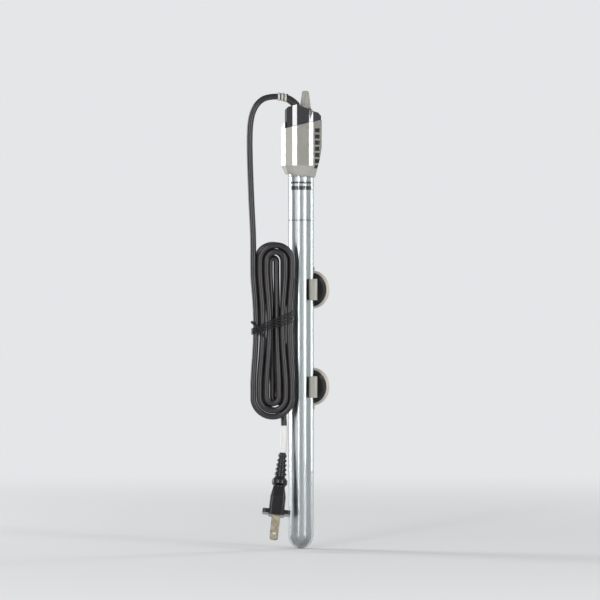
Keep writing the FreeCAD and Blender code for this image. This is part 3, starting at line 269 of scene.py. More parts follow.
def frames_along(path, closed=False):
    """Tangent and two cross directions at each point of a path.

    The tangent is the central difference; the first cross direction starts square to it and
    is carried on by removing, at each point, the part that lies along the tangent.
    """
    if closed:
        steps = np.roll(path, -1, axis=0) - np.roll(path, 1, axis=0)
    else:
        steps = np.gradient(path, axis=0)
    tangent = steps / np.linalg.norm(steps, axis=1, keepdims=True)
    seed = np.cross(tangent[0], (0.31, 0.17, 0.94))
    if np.linalg.norm(seed) < 1e-3:
        seed = np.cross(tangent[0], (1.0, 0.0, 0.0))
    across = np.empty_like(tangent)
    for i, direction in enumerate(tangent):
        seed = seed - direction * seed.dot(direction)
        seed = seed / np.linalg.norm(seed)
        across[i] = seed
    return tangent, across, np.cross(tangent, across)


def around(sides):
    """Angles of the points of a full turn."""
    return np.linspace(0, 2 * math.pi, sides, endpoint=False)


def rings(across, upward, sides):
    """At each row the directions (cos a, sin a) in that row's two cross directions."""
    angle = around(sides)[None, :, None]
    return np.cos(angle) * across[:, None] + np.sin(angle) * upward[:, None]


def tube_along(name, path, radius, sides=16, closed=False):
    """A round tube: path point + radius times the row's ring of directions."""
    _, across, upward = frames_along(path, closed)
    points = path[:, None] + radius * rings(across, upward, sides)
    return grid_object(name, points, closed_u=closed, closed_v=True, caps=not closed)


def turned(name, radius, height, sides, x=0.0, closed=False):
    """A surface turned round an upright axis at x: rows of radii at rows of heights.

    The radii are one to a row, or one to a point of each row.
    """
    angle = around(sides)
    reach = np.broadcast_to(radius, (len(height), sides))
    points = np.empty((len(height), sides, 3))
    points[..., 0] = x + reach * np.cos(angle)
    points[..., 1] = reach * np.sin(angle)
    points[..., 2] = np.asarray(height)[:, None]
    return grid_object(name, points, closed_u=closed, closed_v=True)


def evenly(path, count, closed=False):
    """The path again as count points at even distances along it."""
    if closed:
        path = np.vstack([path, path[:1]])
    step = np.linalg.norm(np.diff(path, axis=0), axis=1)
    along = np.concatenate([[0.0], np.cumsum(step)])
    wanted = np.linspace(0, along[-1], count, endpoint=not closed)
    return np.stack([np.interp(wanted, along, path[:, k]) for k in range(3)], axis=1)


def join(name, pieces):
    """Joins meshes that lie at the origin into one object."""
    points = []
    faces = []
    base = 0
    for piece in pieces:
        mesh = piece.data
        points.append(points_of(mesh))
        faces += [[v + base for v in polygon.vertices] for polygon in mesh.polygons]
        base += len(mesh.vertices)
        bpy.data.objects.remove(piece)
    return mesh_object(name, np.vstack(points), faces)


# Materials

def add_node(tree, kind, links=None, **settings):
    """Adds a node, sets its properties or sockets, and links what comes in."""
    made = tree.nodes.new(kind)
    for key, value in settings.items():
        if key in made.inputs.keys():
            made.inputs[key].default_value = value
        elif key.replace("_", " ") in made.inputs.keys():
            made.inputs[key.replace("_", " ")].default_value = value
        else:
            setattr(made, key, value)
    for socket, source in (links or {}).items():
        tree.links.new(source, made.inputs[socket])
    return made


def empty_tree(block):
    """The node tree of a material or a world, with nothing in it."""
    block.use_nodes = True
    block.node_tree.nodes.clear()
    return block.node_tree


def new_material(name):
    """A material with its tree, surface shader and Object coordinates."""
    material = bpy.data.materials.new(name)
    tree = empty_tree(material)
    shader = add_node(tree, "ShaderNodeBsdfPrincipled")
    add_node(tree, "ShaderNodeOutputMaterial", {"Surface": shader.outputs["BSDF"]})
    place = add_node(tree, "ShaderNodeTexCoord").outputs["Object"]
    return material, tree, shader, place


def set_shader(shader, **values):
    for key, value in values.items():
        shader.inputs[key.replace("_", " ")].default_value = value


def bump_from(tree, shader, height, depth):
    """Raises the surface by depth metres where the height is 1."""
    bump = add_node(tree, "ShaderNodeBump", {"Height": height}, Strength=1.0, Distance=depth)
    tree.links.new(bump.outputs["Normal"], shader.inputs["Normal"])


def roughness_from(tree, shader, value, low, high):
    """Roughness from low to high as a noise value goes through its middle range."""
    spread = add_node(tree, "ShaderNodeMapRange", {"Value": value},
                      From_Min=0.3, From_Max=0.7, To_Min=low, To_Max=high)
    tree.links.new(spread.outputs["Result"], shader.inputs["Roughness"])


def colour_from(tree, shader, factor, low, high):
    """Base colour mixed from low to high by a factor; each is a colour or a socket."""
    tint = add_node(tree, "ShaderNodeMix", {"Factor": factor}, data_type="RGBA")
    for key, value in (("A", low), ("B", high)):
        if isinstance(value, bpy.types.NodeSocket):
            tree.links.new(value, tint.inputs[key])
        else:
            tint.inputs[key].default_value = (*value, 1)
    tree.links.new(tint.outputs["Result"], shader.inputs["Base Color"])


def grain(tree, shader, place, size, depth, detail=3.0):
    """Bump of a moulded or drawn surface, from noise of the given grain size in metres."""
    noise = add_node(tree, "ShaderNodeTexNoise", {"Vector": place}, Scale=1 / size, Detail=detail)
    bump_from(tree, shader, noise.outputs["Fac"], depth)


def vary_roughness(tree, shader, place, size, low, high):
    """Roughness that wanders between low and high over patches of the given size."""
    noise = add_node(tree, "ShaderNodeTexNoise", {"Vector": place}, Scale=1 / size, Detail=4.0)
    roughness_from(tree, shader, noise.outputs["Fac"], low, high)


def vary_colour(tree, shader, place, base, size, spread):
    """Base colour that drifts a little lighter and darker over patches of the given size."""
    noise = add_node(tree, "ShaderNodeTexNoise", {"Vector": place}, Scale=1 / size, Detail=3.0)
    blend = add_node(tree, "ShaderNodeValToRGB", {"Fac": noise.outputs["Fac"]})
    dark, light = blend.color_ramp.elements
    dark.position = 0.3
    light.position = 0.7
    dark.color = [c * (1 - spread) for c in base] + [1]
    light.color = [min(1, c * (1 + spread)) for c in base] + [1]
    tree.links.new(blend.outputs["Color"], shader.inputs["Base Color"])


def moulded(name, base, low, high, size=0.004, depth=0.00002, specular_ior=1.5, coat=0.0):
    """Moulded plastic or rubber: a base colour, patchy gloss and a fine grain."""
    material, tree, shader, place = new_material(name)
    set_shader(shader, IOR=specular_ior, Coat_Weight=coat, Coat_Roughness=0.05)
    vary_colour(tree, shader, place, base, size * 3, 0.06)
    vary_roughness(tree, shader, place, size, low, high)
    grain(tree, shader, place, size / 8, depth)
    return material


def metal(name, base, low, high, size=0.003, depth=0.00001):
    """Rolled, stamped or plated metal with slightly uneven gloss."""
    material, tree, shader, place = new_material(name)
    set_shader(shader, Metallic=1.0)
    vary_colour(tree, shader, place, base, size * 2, 0.05)
    vary_roughness(tree, shader, place, size, low, high)
    grain(tree, shader, place, size / 6, depth)
    return material


def borosilicate_glass():
    """Drawn borosilicate tube: clear and smooth, with a faint grey tint at its edges."""
    material, tree, shader, place = new_material("borosilicate tube")
    set_shader(shader, Base_Color=(*linear("eef2f2"), 1), Transmission_Weight=1.0,
               IOR=1.47, Roughness=0.0)
    grain(tree, shader, place, 0.03, 0.0000004, detail=1.0)
    return material


def math_node(tree, operation, first, second=None):
    """Result of an operation on one or two values, each a number or a socket."""
    made = add_node(tree, "ShaderNodeMath", operation=operation)
    for place, value in enumerate((first, second)):
        if isinstance(value, bpy.types.NodeSocket):
            tree.links.new(value, made.inputs[place])
        elif value is not None:
            made.inputs[place].default_value = value
    return made.outputs[0]


def most_of(tree, values):
    """The greatest of several values."""
    most = values[0]
    for value in values[1:]:
        most = math_node(tree, "MAXIMUM", most, value)
    return most


def ramp(tree, value, start, stop, low=0.0, high=1.0):
    """Goes from low to high as the value goes from start to stop."""
    made = add_node(tree, "ShaderNodeMapRange", {"Value": value},
                    From_Min=start, From_Max=stop, To_Min=low, To_Max=high)
    return made.outputs["Result"]


def band_at(tree, value, middle, half, fade):
    """1 within half of the middle of a value, falling to 0 at fade from it."""
    near = math_node(tree, "ABSOLUTE", math_node(tree, "SUBTRACT", value, middle))
    return ramp(tree, near, half, fade, 1.0, 0.0)


def distance_along(tree, place, direction):
    """How far a place lies along a direction."""
    along = add_node(tree, "ShaderNodeVectorMath", {0: place}, operation="DOT_PRODUCT")
    along.inputs[1].default_value = direction
    return along.outputs["Value"]


def part_of(tree, vector, name):
    """One coordinate, X, Y or Z, of a vector."""
    return add_node(tree, "ShaderNodeSeparateXYZ", {"Vector": vector}).outputs[name]


def seen_directly(tree):
    """1 for rays that come from the camera, straight or through glass."""
    rays = add_node(tree, "ShaderNodeLightPath").outputs
    return math_node(tree, "MAXIMUM", rays["Is Camera Ray"], rays["Is Transmission Ray"])


def aluminised_sheet():
    """Aluminised reflector sheet: a soft mirror with fine lengthwise rolling lines.

    Two dark bands near the top are the edges of the bushing that shows through the glass.
    """
    material, tree, shader, place = new_material("aluminised reflector")
    set_shader(shader, Metallic=1.0)
    stretched = add_node(tree, "ShaderNodeMapping", {"Vector": place}, Scale=(1400.0, 1400.0, 2.0))
    lines = add_node(tree, "ShaderNodeTexNoise", {"Vector": stretched.outputs["Vector"]},
                     Scale=1.0, Detail=3.0).outputs["Fac"]
    bump_from(tree, shader, lines, 0.000002)
    roughness_from(tree, shader, lines, 0.24, 0.34)
    height = part_of(tree, place, "Z")
    dark = most_of(tree, [band_at(tree, height, *band) for band in SLEEVE_BANDS])
    colour_from(tree, shader, dark, linear("c3c4c5"), linear("3a3b3d"))
    return material


def metallised_shell():
    """Metallised ABS of the head: silver grey, glossy, with soft reflections.

    The two blind notches under the windows get painted shade: points that lie in their
    height bands and below the slanted facet, on the sunk floor of each notch, are darkened.
    """
    material, tree, shader, place = new_material("metallised ABS shell")
    set_shader(shader, Metallic=0.55, Coat_Weight=0.7, Coat_Roughness=0.06)
    noise = add_node(tree, "ShaderNodeTexNoise", {"Vector": place}, Scale=40.0, Detail=3.0)
    plain = add_node(tree, "ShaderNodeMix", {"Factor": noise.outputs["Fac"]}, data_type="RGBA")
    plain.inputs["A"].default_value = [c * 0.94 for c in colours().shell] + [1]
    plain.inputs["B"].default_value = [min(1, c * 1.06) for c in colours().shell] + [1]
    height = part_of(tree, place, "Z")
    outward = distance_along(tree, place, FACET_OUT)
    sunk = ramp(tree, outward, FACET_REACH - 0.0004, FACET_REACH - 0.0002, 1.0, 0.0)
    facet = ramp(tree, outward, FACET_REACH - 0.0012, FACET_REACH - 0.0010)
    along = distance_along(tree, place, FACET_ALONG)
    inside = band_at(tree, along, FACET_MIDDLE, NOTCH_HALF_WIDTH, NOTCH_HALF_WIDTH + MASK_FADE)
    # Painted shade: the sunk floor of each notch is darkened to a near black grey, standing in for the
    # shade inside the recess.
    dark = most_of(tree, [
        band_at(tree, height, middle, NOTCH_HALF_HEIGHT, NOTCH_HALF_HEIGHT + MASK_FADE)
        for middle in NOTCH_HEIGHTS])
    for mask in (sunk, facet, inside):
        dark = math_node(tree, "MULTIPLY", dark, mask)
    colour_from(tree, shader, dark, plain.outputs["Result"], linear("2a2a2d"))
    vary_roughness(tree, shader, place, 0.006, 0.2, 0.27)
    grain(tree, shader, place, 0.0008, 0.000006)
    return material


def cup_with_lip_highlight():
    """Soft PVC cup: near black, with a painted highlight on the thin flared lip at its rim."""
    material, tree, shader, place = new_material("soft PVC cup")
    set_shader(shader, IOR=1.53)
    along = distance_along(tree, place, CLIP_ALONG)
    height = math_node(tree, "ABSOLUTE", part_of(tree, place, "Z"))
    level = math_node(tree, "SUBTRACT", height, CLIP_HALF)
    spot = add_node(tree, "ShaderNodeCombineXYZ", {"X": along, "Y": level})
    radius = add_node(tree, "ShaderNodeVectorMath", {0: spot.outputs["Vector"]}, operation="LENGTH")
    # Painted highlight: past the lip's radius from the cup's middle the colour turns light, where the
    # thin flared lip catches the light.
    lip = ramp(tree, radius.outputs["Value"], CUP_LIP_HIGHLIGHT, CUP_LIP_HIGHLIGHT + 0.0003)
    colour_from(tree, shader, lip, colours().rubber, colours().cup_lip_highlight)
    vary_roughness(tree, shader, place, 0.004, 0.28, 0.42)
    grain(tree, shader, place, 0.0006, 0.00001)
    return material


def cord_jacket():
    """Extruded PVC jacket: dark warm grey, satin, with the seams between its two cores.

    The cord's own UV goes once round it. A groove runs along the cord where that is a quarter,
    and another where it is three quarters.
    """
    material, tree, shader, place = new_material("extruded PVC jacket")
    set_shader(shader, IOR=1.53)
    unwrapped = add_node(tree, "ShaderNodeTexCoord").outputs["UV"]
    halves = math_node(tree, "MULTIPLY", part_of(tree, unwrapped, "Y"), 2.0)
    away = math_node(tree, "SUBTRACT", math_node(tree, "FRACT", halves), 0.5)
    near = math_node(tree, "ABSOLUTE", away)
    groove = add_node(tree, "ShaderNodeMapRange", {"Value": near}, interpolation_type="SMOOTHSTEP",
                      From_Min=0.02, From_Max=0.09, To_Min=0.0, To_Max=1.0)
    drift = add_node(tree, "ShaderNodeTexNoise", {"Vector": place}, Scale=60.0, Detail=3.0)
    colour_from(tree, shader, drift.outputs["Fac"],
                [c * 0.85 for c in colours().cord], [c * 1.15 for c in colours().cord])
    vary_roughness(tree, shader, place, 0.005, 0.16, 0.24)
    bump_from(tree, shader, groove.outputs["Result"], 0.0004)
    return material


def gland_with_ring_highlights():
    """Soft PVC gland: the cord's grey, with painted highlights on the three grip rings at its outer
    end.
    """
    material, tree, shader, place = new_material("soft PVC gland")
    set_shader(shader, IOR=1.53)
    along = part_of(tree, place, "X")
    # Painted highlight: narrow bands round the three grip rings are coloured near white, standing in
    # for the glints on the rings.
    ring_highlight = most_of(tree, [band_at(tree, along, middle, 0.0007, 0.0009) for middle in GLAND_RINGS])
    colour_from(tree, shader, ring_highlight, colours().cord, linear("cfccc6"))
    vary_roughness(tree, shader, place, 0.004, 0.2, 0.3)
    grain(tree, shader, place, 0.0006, 0.00001)
    return material


def dress_nodes():
    """Gives each CAD node in its list the finish of its real material."""
    tint = colours()
    rubber = moulded("nitrile rubber", tuple(tint.rubber), 0.4, 0.55)
    cup = cup_with_lip_highlight()
    clip = moulded("moulded ABS clip", tuple(tint.clip), 0.3, 0.4)
    plug = moulded("moulded PVC plug", tuple(tint.plug), 0.16, 0.28, depth=0.00004)
    brass = metal("stamped brass", linear("b08d4a"), 0.25, 0.4)
    ceramic = moulded("steatite ceramic", linear("d9d2c3"), 0.6, 0.75)
    mica = moulded("pressed mica", linear("9a8a6b"), 0.45, 0.6)
    nylon = moulded("natural nylon", linear("dedad2"), 0.35, 0.45)
    smoked = moulded("smoked acrylic", linear("1c1c20"), 0.05, 0.09,
                     depth=0.000003, specular_ior=1.6, coat=1.0)
    cap = moulded("glossy smoked cap", tuple(tint.cap), 0.1, 0.16,
                  depth=0.000004, specular_ior=1.7, coat=1.0)
    finishes = {
        "glass_tube": borosilicate_glass(),
        "mirror_sleeve": aluminised_sheet(),
        "core_pad": moulded("ceramic fibre", linear("e6e1d6"), 0.8, 0.9),
        "ceramic_core": ceramic,
        "heating_winding": metal("nichrome wire", linear("7d7870"), 0.3, 0.45),
        "core_disc_lower": mica,
        "core_disc_upper": mica,
        "thermostat_board": moulded("phenolic board", linear("8a6238"), 0.4, 0.5),
        "fixed_contact": brass,
        "bimetal_arm": metal("rolled bimetal", linear("a7a29a"), 0.25, 0.35),
        "arm_clamp": brass,
        "snap_magnet": metal("sintered ferrite", linear("3c3c3e"), 0.5, 0.6),
        "suppressor": moulded("dipped capacitor", linear("a8382c"), 0.2, 0.3),
        "lead_wires": moulded("silicone lead", linear("d6d2c8"), 0.4, 0.5),
        "tube_stopper": nylon,
        "tube_seal": rubber,
        "head_shell": metallised_shell(),
        "scale_lens": smoked,
        "top_cap": cap,
        "knob_spindle": nylon,
        "scale_pointer": moulded("red nylon pointer", linear("c03a26"), 0.3, 0.4),
        "spindle_seal": rubber,
        "spindle_clip": metal("spring steel", linear("8f8f8f"), 0.2, 0.3),
        "cord_gland": gland_with_ring_highlights(),
        "lamp_lens": moulded("tinted lamp lens", linear("a5463a"), 0.1, 0.16, coat=0.5),
        "upper_clip_liner": rubber,
        "lower_clip_liner": rubber,
        "upper_clip": clip,
        "lower_clip": clip,
        "upper_cup": cup,
        "lower_cup": cup,
        "plug_boot": plug,
        "plug_body": plug,
        "plug_blades": metal("nickel-plated brass", tuple(tint.blade), 0.22, 0.34),
    }
    for name, finish in finishes.items():
        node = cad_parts[name]
        if not node.material_slots:
            node.data.materials.append(finish)
        for place in node.material_slots:
            place.link = "OBJECT"
            place.material = finish


# CAD pieces whose moulded edges are softened
ROUNDED = ("head_shell", "top_cap", "upper_clip", "lower_clip", "plug_body")


def round_edges():
    """Breaks the moulded edges of the CAD pieces with live modifiers."""
    for name in ROUNDED:
        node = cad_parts[name]
        weld = node.modifiers.new("Weld", "WELD")
        weld.merge_threshold = 0.000002
        bevel = node.modifiers.new("Edge break", "BEVEL")
        bevel.width = sizes().edge_break
        bevel.segments = 3
        bevel.limit_method = "ANGLE"
        bevel.angle_limit = math.radians(24)
        bevel.use_clamp_overlap = True
        bevel.harden_normals = True


# Cord

# Runs of the hank: side offset at the start and end folds, offset at the waist, and layer
# (0 front, 1 back, 0.5 the run that climbs). The back layer's runs lie between the front's.
HANK_RUNS = [
    (-0.01450, -0.01450, -0.01240, 0),
    (0.01450, 0.01450, 0.01240, 0),
    (-0.00955, -0.00990, -0.00745, 0),
    (0.00990, 0.00955, 0.00745, 0),
    (-0.00460, -0.00460, -0.00250, 0),
    (0.00460, 0.00280, 0.00330, 0.5),
    (-0.00210, 0.00000, -0.00080, 1),
    (0.00790, 0.00790, 0.00770, 1),
    (-0.00730, -0.00730, -0.00725, 1),
    (0.01250, 0.01250, 0.01230, 1),
    (-0.01220, -0.01220, -0.01220, 1),
]


def hank_route():
    """Control points of the hank: loops spiral in, climb a layer along a run, spiral out.

    Each fold's points stand on the polygon round its half circle, at radius / cos(half a step).
    Each run bends in to the waist, with its points a sixteenth and a quarter in from its ends
    and a quarter out from the waist.
    """
    step = math.pi / FOLD_POINTS
    angle = (np.arange(FOLD_POINTS) + 0.5) * step
    route = []
    here = None
    for number, (x0, x1, drawn, layer) in enumerate(HANK_RUNS):
        down = number % 2 == 0
        z0, z1 = (HANK_TOP, HANK_BOTTOM) if down else (HANK_BOTTOM, HANK_TOP)
        y0 = HANK_FRONT + HANK_LAYER * math.floor(layer)
        y1 = HANK_FRONT + HANK_LAYER * math.ceil(layer)
        start = np.array([HANK_X + x0, y0, z0])
        if here is not None:
            middle = (here + start) / 2
            spoke = here - middle
            rise = np.array([0, 0, np.linalg.norm(spoke) * (1 if down else -1)])
            circle = np.outer(np.cos(angle), spoke) + np.outer(np.sin(angle), rise)
            route += (middle + circle / math.cos(step / 2)).tolist()
        if number == len(HANK_RUNS) - 1:
            break
        mean = (y0 + y1) / 2
        route += [
            [HANK_X + x0, y0, z0 + (HANK_WAIST - z0) / 16],
            [HANK_X + x0, y0, z0 + (HANK_WAIST - z0) / 4],
            [HANK_X + drawn, mean, z0 + (HANK_WAIST - z0) * 3 / 4],
            [HANK_X + drawn, mean, z1 + (HANK_WAIST - z1) * 3 / 4],
            [HANK_X + x1, y1, z1 + (HANK_WAIST - z1) / 4],
            [HANK_X + x1, y1, z1 + (HANK_WAIST - z1) / 16],
        ]
        here = np.array([HANK_X + x1, y1, z1])
    return route


def cord_curve():
    """The whole cord as one NURBS spline through its control points."""
    route = LEAD_ROUTE + hank_route() + TAIL_ROUTE
    curve = bpy.data.curves.new("mains_cord", "CURVE")
    curve.dimensions = "3D"
    curve.resolution_u = 8
    spline = curve.splines.new("NURBS")
    spline.points.add(len(route) - 1)
    spline.points.foreach_set("co", np.hstack([np.array(route), np.ones((len(route), 1))]).ravel())
    spline.order_u = 3
    spline.use_endpoint_u = True
    piece = bpy.data.objects.new("mains_cord", curve)
    bpy.context.scene.collection.objects.link(piece)
    return piece


def centreline(piece):
    """The points that the spline itself passes through, read before it has a bevel."""
    mesh = bpy.data.meshes.new_from_object(piece)
    path = points_of(mesh)
    bpy.data.meshes.remove(mesh)
    return path


def label_on(path):
    """Sleeve label: a closed wall profile (distance, radius) carried along the cord's end.

    The point is path(distance) + radius times (cos a, sin a) in the cross directions.
    """
    step = np.linalg.norm(np.diff(path, axis=0), axis=1)
    from_end = np.concatenate([np.cumsum(step[::-1])[::-1], [0.0]])
    near = 0.001
    far = near + sizes().label_length
    count = 24
    wanted = np.linspace(far, near, count)
    line = np.stack([np.interp(wanted, from_end[::-1], path[::-1, k]) for k in range(3)], axis=1)
    _, across, upward = frames_along(line)
    inner = sizes().cord_diameter / 2 + 0.00003
    outer = sizes().cord_diameter / 2 + sizes().label_wall
    edge = outer - 0.00012
    rows = np.concatenate([[0], np.arange(count), [count - 1], np.arange(count)[::-1]])
    radius = np.concatenate([[edge], np.full(count, outer), [edge], np.full(count, inner)])
    ring = rings(across[rows], upward[rows], 40)
    points = line[rows][:, None] + radius[:, None, None] * ring
    return grid_object("sleeve_label", points, closed_u=True, closed_v=True)


def tie_loop(hull, away, tilt, lift):
    """A closed turn of wire round the strands.

    In each direction the wire lies at the outermost strand centre plus the distance away,
    and its height rises in a straight line from the hank's left side to its right.
    """
    angle = around(720)
    heading = np.stack([np.cos(angle), np.sin(angle)], axis=1)
    outermost = hull[np.argmax(heading @ hull.T, axis=1)]
    flat = outermost + away * heading
    height = HANK_WAIST + lift + tilt * (flat[:, 0] - HANK_X) / HANK_HALF
    path = np.column_stack([flat, height])
    return evenly(path, 160, closed=True)


def twisted_tail(start, heading, length, wire):
    """Two wires wound round each other: a helix of three turns about the heading."""
    along = np.linspace(0, 1, 60)
    heading = np.array(heading) / np.linalg.norm(heading)
    side = np.cross(heading, (0.0, 0.0, 1.0))
    side = side / np.linalg.norm(side)
    other = np.cross(heading, side)
    middle = np.array(start) + along[:, None] * length * heading
    pair = []
    for phase in (0.0, math.pi):
        turn = along * 6 * math.pi + phase
        spiral = np.cos(turn)[:, None] * side + np.sin(turn)[:, None] * other
        pair.append(tube_along("tie_tail", middle + wire * spiral, wire * 0.95, sides=10))
    return pair


# Operators

class HEATER_OT_stage(bpy.types.Operator):
    """Sets the floor, the world behind it, the lamps and the camera."""

    bl_idname = "heater.stage"
    bl_label = "Stage, lamps and camera"

    def execute(self, context):
        scene = context.scene
        scene.view_settings.view_transform = "Standard"
        self.floor(CAD_BOX[0][2] - 0.0002)
        for lamp in LAMPS:
            self.lamp(*lamp)
        world = bpy.data.worlds.new("studio")
        tree = empty_tree(world)
        level = ramp(tree, seen_directly(tree), 0.0, 1.0, 0.4, 1.0)
        back = add_node(tree, "ShaderNodeBackground", {"Strength": level},
                        Color=(*colours().backdrop, 1))
        add_node(tree, "ShaderNodeOutputWorld", {"Surface": back.outputs["Background"]})
        scene.world = world
        camera = bpy.data.cameras.new("camera")
        camera.sensor_width = 36.0
        camera.lens = camera.sensor_width * sizes().camera_distance / sizes().picture_width
        camera.clip_end = 30
        viewer = bpy.data.objects.new("camera", camera)
        viewer.location = (CAMERA_X, -sizes().camera_distance, CAMERA_HEIGHT)
        viewer.rotation_euler = (math.radians(90), 0, 0)
        scene.collection.objects.link(viewer)
        scene.camera = viewer
        return {"FINISHED"}

    def floor(self, lowest):
        """A level disc, with rings closer together near its middle.

        Seen by the camera it fades, with distance from the object, to the backdrop's colour,
        so that no horizon shows from any side.
        """
        radius = 0.0005 + FLOOR_RADIUS * np.linspace(0.0, 1.0, 24) ** 2
        disc = turned("floor", radius[:, None], np.full(len(radius), lowest), 96)
        material = bpy.data.materials.new("matt paper floor")
        tree = empty_tree(material)
        place = add_node(tree, "ShaderNodeTexCoord").outputs["Object"]
        paper = add_node(tree, "ShaderNodeBsdfPrincipled", Roughness=0.85,
                         Base_Color=(*colours().floor, 1))
        grain(tree, paper, place, 0.004, 0.00002)
        far = add_node(tree, "ShaderNodeEmission", Color=(*colours().backdrop, 1), Strength=1.0)
        away = add_node(tree, "ShaderNodeVectorMath", {0: place}, operation="LENGTH")
        fade = add_node(tree, "ShaderNodeMapRange", {"Value": away.outputs["Value"]},
                        interpolation_type="SMOOTHSTEP",
                        From_Min=FLOOR_FADE[0], From_Max=FLOOR_FADE[1])
        share = math_node(tree, "MULTIPLY", fade.outputs["Result"], seen_directly(tree))
        both = add_node(tree, "ShaderNodeMixShader", {
            0: share, 1: paper.outputs["BSDF"], 2: far.outputs["Emission"]})
        add_node(tree, "ShaderNodeOutputMaterial", {"Surface": both.outputs["Shader"]})
        disc.data.materials.append(material)

    def lamp(self, name, azimuth, distance, width, height, radiance):
        """A soft box at an azimuth from the camera's side, facing the tube's middle."""
        data = bpy.data.lights.new(name, "AREA")
        data.shape = "RECTANGLE"
        data.size = width
        data.size_y = height
        data.energy = radiance * math.pi * width * height
        lamp = bpy.data.objects.new(name, data)
        lamp.visible_camera = False
        turn = math.radians(azimuth)
        lamp.location = (distance * math.sin(turn), -distance * math.cos(turn), LAMP_HEIGHT)
        aim = Vector(LAMP_AIM) - lamp.location
        lamp.rotation_euler = aim.to_track_quat("-Z", "Y").to_euler()
        bpy.context.scene.collection.objects.link(lamp)


class HEATER_OT_cord(bpy.types.Operator):
    """Makes the mains cord with its hank, its label and its tie."""

    bl_idname = "heater.cord"
    bl_label = "Cord, label and tie"

    def execute(self, context):
        cord = cord_curve()
        path = centreline(cord)
        cord.data.bevel_depth = sizes().cord_diameter / 2
        cord.data.bevel_resolution = 5
        cord.data.use_fill_caps = True
        cord.data.materials.append(cord_jacket())
        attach(cord, "heater_body")
        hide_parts("cord_lead", "cord_hank", "cord_tail")

        label = label_on(path)
        label.data.materials.append(moulded("vinyl sleeve", tuple(colours().label), 0.25, 0.35))
        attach(label, "heater_body")
        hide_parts("cord_label")

        tie = self.tie(path)
        tie.data.materials.append(moulded("coated tie wire", linear("17171a"), 0.25, 0.35))
        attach(tie, "heater_body")
        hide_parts("cord_tie")

        return {"FINISHED"}

    def tie(self, path):
        """Wire tie: turns round every strand that passes the waist, and a twisted tail."""
        near = path[np.abs(path[:, 2] - HANK_WAIST) < 0.009]
        strands = near[near[:, 0] < HANK_X + HANK_HALF * 1.3][:, :2]
        wire = sizes().tie_wire
        away = sizes().cord_diameter / 2 + wire + 0.0002
        turns = sizes().tie_turns
        pieces = []
        for number in range(turns):
            share = number - (turns - 1) / 2
            loop = tie_loop(strands, away, TIE_TILT + TIE_FAN * share, TIE_PITCH * wire * share)
            pieces.append(tube_along("tie_turn", loop, wire, sides=12, closed=True))
        front = strands[:, 1].min() - away - wire * 2.4
        knot = (HANK_X - HANK_HALF * 0.62, front, HANK_WAIST - TIE_TILT * 0.7)
        for heading, length in TIE_ENDS:
            pieces += twisted_tail(knot, heading, length, wire)
        return join("wire_tie", pieces)


class HEATER_OT_knob(bpy.types.Operator):
    """Makes the fluted grip of the knob."""

    bl_idname = "heater.knob"
    bl_label = "Knob grip"

    def execute(self, context):
        grip = self.grip()
        grip.data.materials.append(moulded("moulded ABS knob", tuple(colours().knob), 0.28, 0.38))
        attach(grip, "dial")
        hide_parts("knob")
        return {"FINISHED"}

    def grip(self):
        """Profile (radius, height) turned round the knob's axis, its cone drawn in by flutes.

        On the cone the radius is less by depth * (1 - cos(flutes * angle)) / 2. The depth
        fades in over the cone's first eighth and out over the top rounding.
        """
        (_, _, foot), (_, _, top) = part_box("knob")
        cone = np.linspace(0.0, 1.0, 14)
        turn = np.linspace(0.0, math.pi / 2, 9)[1:]
        low = foot + KNOB_SKIRT
        high = top - KNOB_CORNER
        cone_foot = low + 0.00005
        inset = KNOB_FOOT_RADIUS - KNOB_EDGE
        base = np.array([
            (0.0, foot + KNOB_BORE_DEPTH),
            (KNOB_BORE, foot + KNOB_BORE_DEPTH),
            (KNOB_BORE, foot),
            (inset, foot),
            (KNOB_FOOT_RADIUS, foot + KNOB_EDGE),
            (KNOB_FOOT_RADIUS, low - KNOB_EDGE),
            (inset, low),
        ])
        radius = np.concatenate([
            base[:, 0],
            inset + (KNOB_TOP_RADIUS - inset) * cone,
            KNOB_TOP_RADIUS - KNOB_CORNER + KNOB_CORNER * np.cos(turn),
            [0.0],
        ])
        height = np.concatenate([
            base[:, 1],
            cone_foot + (high - cone_foot) * cone,
            high + KNOB_CORNER * np.sin(turn),
            [top],
        ])
        depth = KNOB_FLUTE_DEPTH * np.concatenate([
            np.zeros(len(base)), np.minimum(1.0, cone * 8), np.cos(turn), [0.0]])
        sides = KNOB_FLUTES * 12
        wave = (1 - np.cos(KNOB_FLUTES * around(sides))) / 2
        reach = radius[:, None] - depth[:, None] * wave[None, :]
        return turned("knob_grip", reach, height, sides, x=KNOB_X)


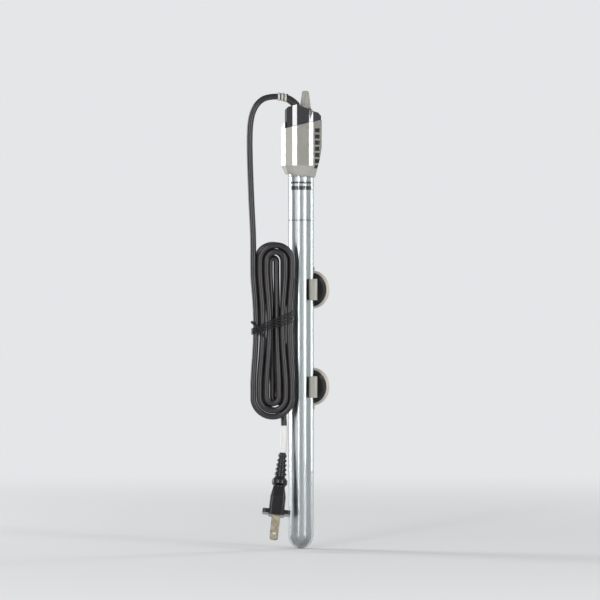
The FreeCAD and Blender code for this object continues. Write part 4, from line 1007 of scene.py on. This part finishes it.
class HEATER_OT_level_line(bpy.types.Operator):
    """Prints the thin level line round the glass under the head."""

    bl_idname = "heater.level_line"
    bl_label = "Level line"

    def execute(self, context):
        low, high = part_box("glass_tube")
        radius = (high[0] - low[0]) / 2
        outside = radius + 0.00004
        half = 0.00025
        reach = np.array([radius, outside, outside, radius])[:, None]
        height = LEVEL_LINE_HEIGHT + np.array([-half, -half, half, half])
        line = turned("level_line", reach, height, 96, closed=True)
        line.data.materials.append(moulded("fired ceramic ink", linear("2b2a2c"), 0.3, 0.4))
        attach(line, "heater_body")
        return {"FINISHED"}


class HEATER_OT_finishes(bpy.types.Operator):
    """Gives the CAD pieces their materials and softened edges."""

    bl_idname = "heater.finishes"
    bl_label = "Finishes and edges"

    def execute(self, context):
        dress_nodes()
        round_edges()
        return {"FINISHED"}


class HEATER_PT_panel(bpy.types.Panel):
    """Lists the steps that dress the heater."""

    bl_label = "Aquarium heater"
    bl_idname = "HEATER_PT_panel"
    bl_space_type = "VIEW_3D"
    bl_region_type = "UI"
    bl_category = "Heater"

    def draw(self, context):
        for operator in OPERATORS:
            self.layout.operator(operator.bl_idname)
        for group in (context.scene.heater_sizes, context.scene.heater_colours):
            box = self.layout.box()
            for name in group.bl_rna.properties.keys():
                if name not in ("rna_type", "name"):
                    box.prop(group, name)


OPERATORS = (
    HEATER_OT_stage,
    HEATER_OT_cord,
    HEATER_OT_knob,
    HEATER_OT_level_line,
    HEATER_OT_finishes,
)
CLASSES = (HeaterSizes, HeaterColours) + OPERATORS + (HEATER_PT_panel,)


def register():
    for item in CLASSES:
        bpy.utils.register_class(item)
    bpy.types.Scene.heater_sizes = PointerProperty(type=HeaterSizes)
    bpy.types.Scene.heater_colours = PointerProperty(type=HeaterColours)


def unregister():
    del bpy.types.Scene.heater_colours
    del bpy.types.Scene.heater_sizes
    for item in reversed(CLASSES):
        bpy.utils.unregister_class(item)


def main():
    register()
    bpy.ops.heater.stage()
    bpy.ops.heater.cord()
    bpy.ops.heater.knob()
    bpy.ops.heater.level_line()
    bpy.ops.heater.finishes()


if __name__ == "__main__":
    main()
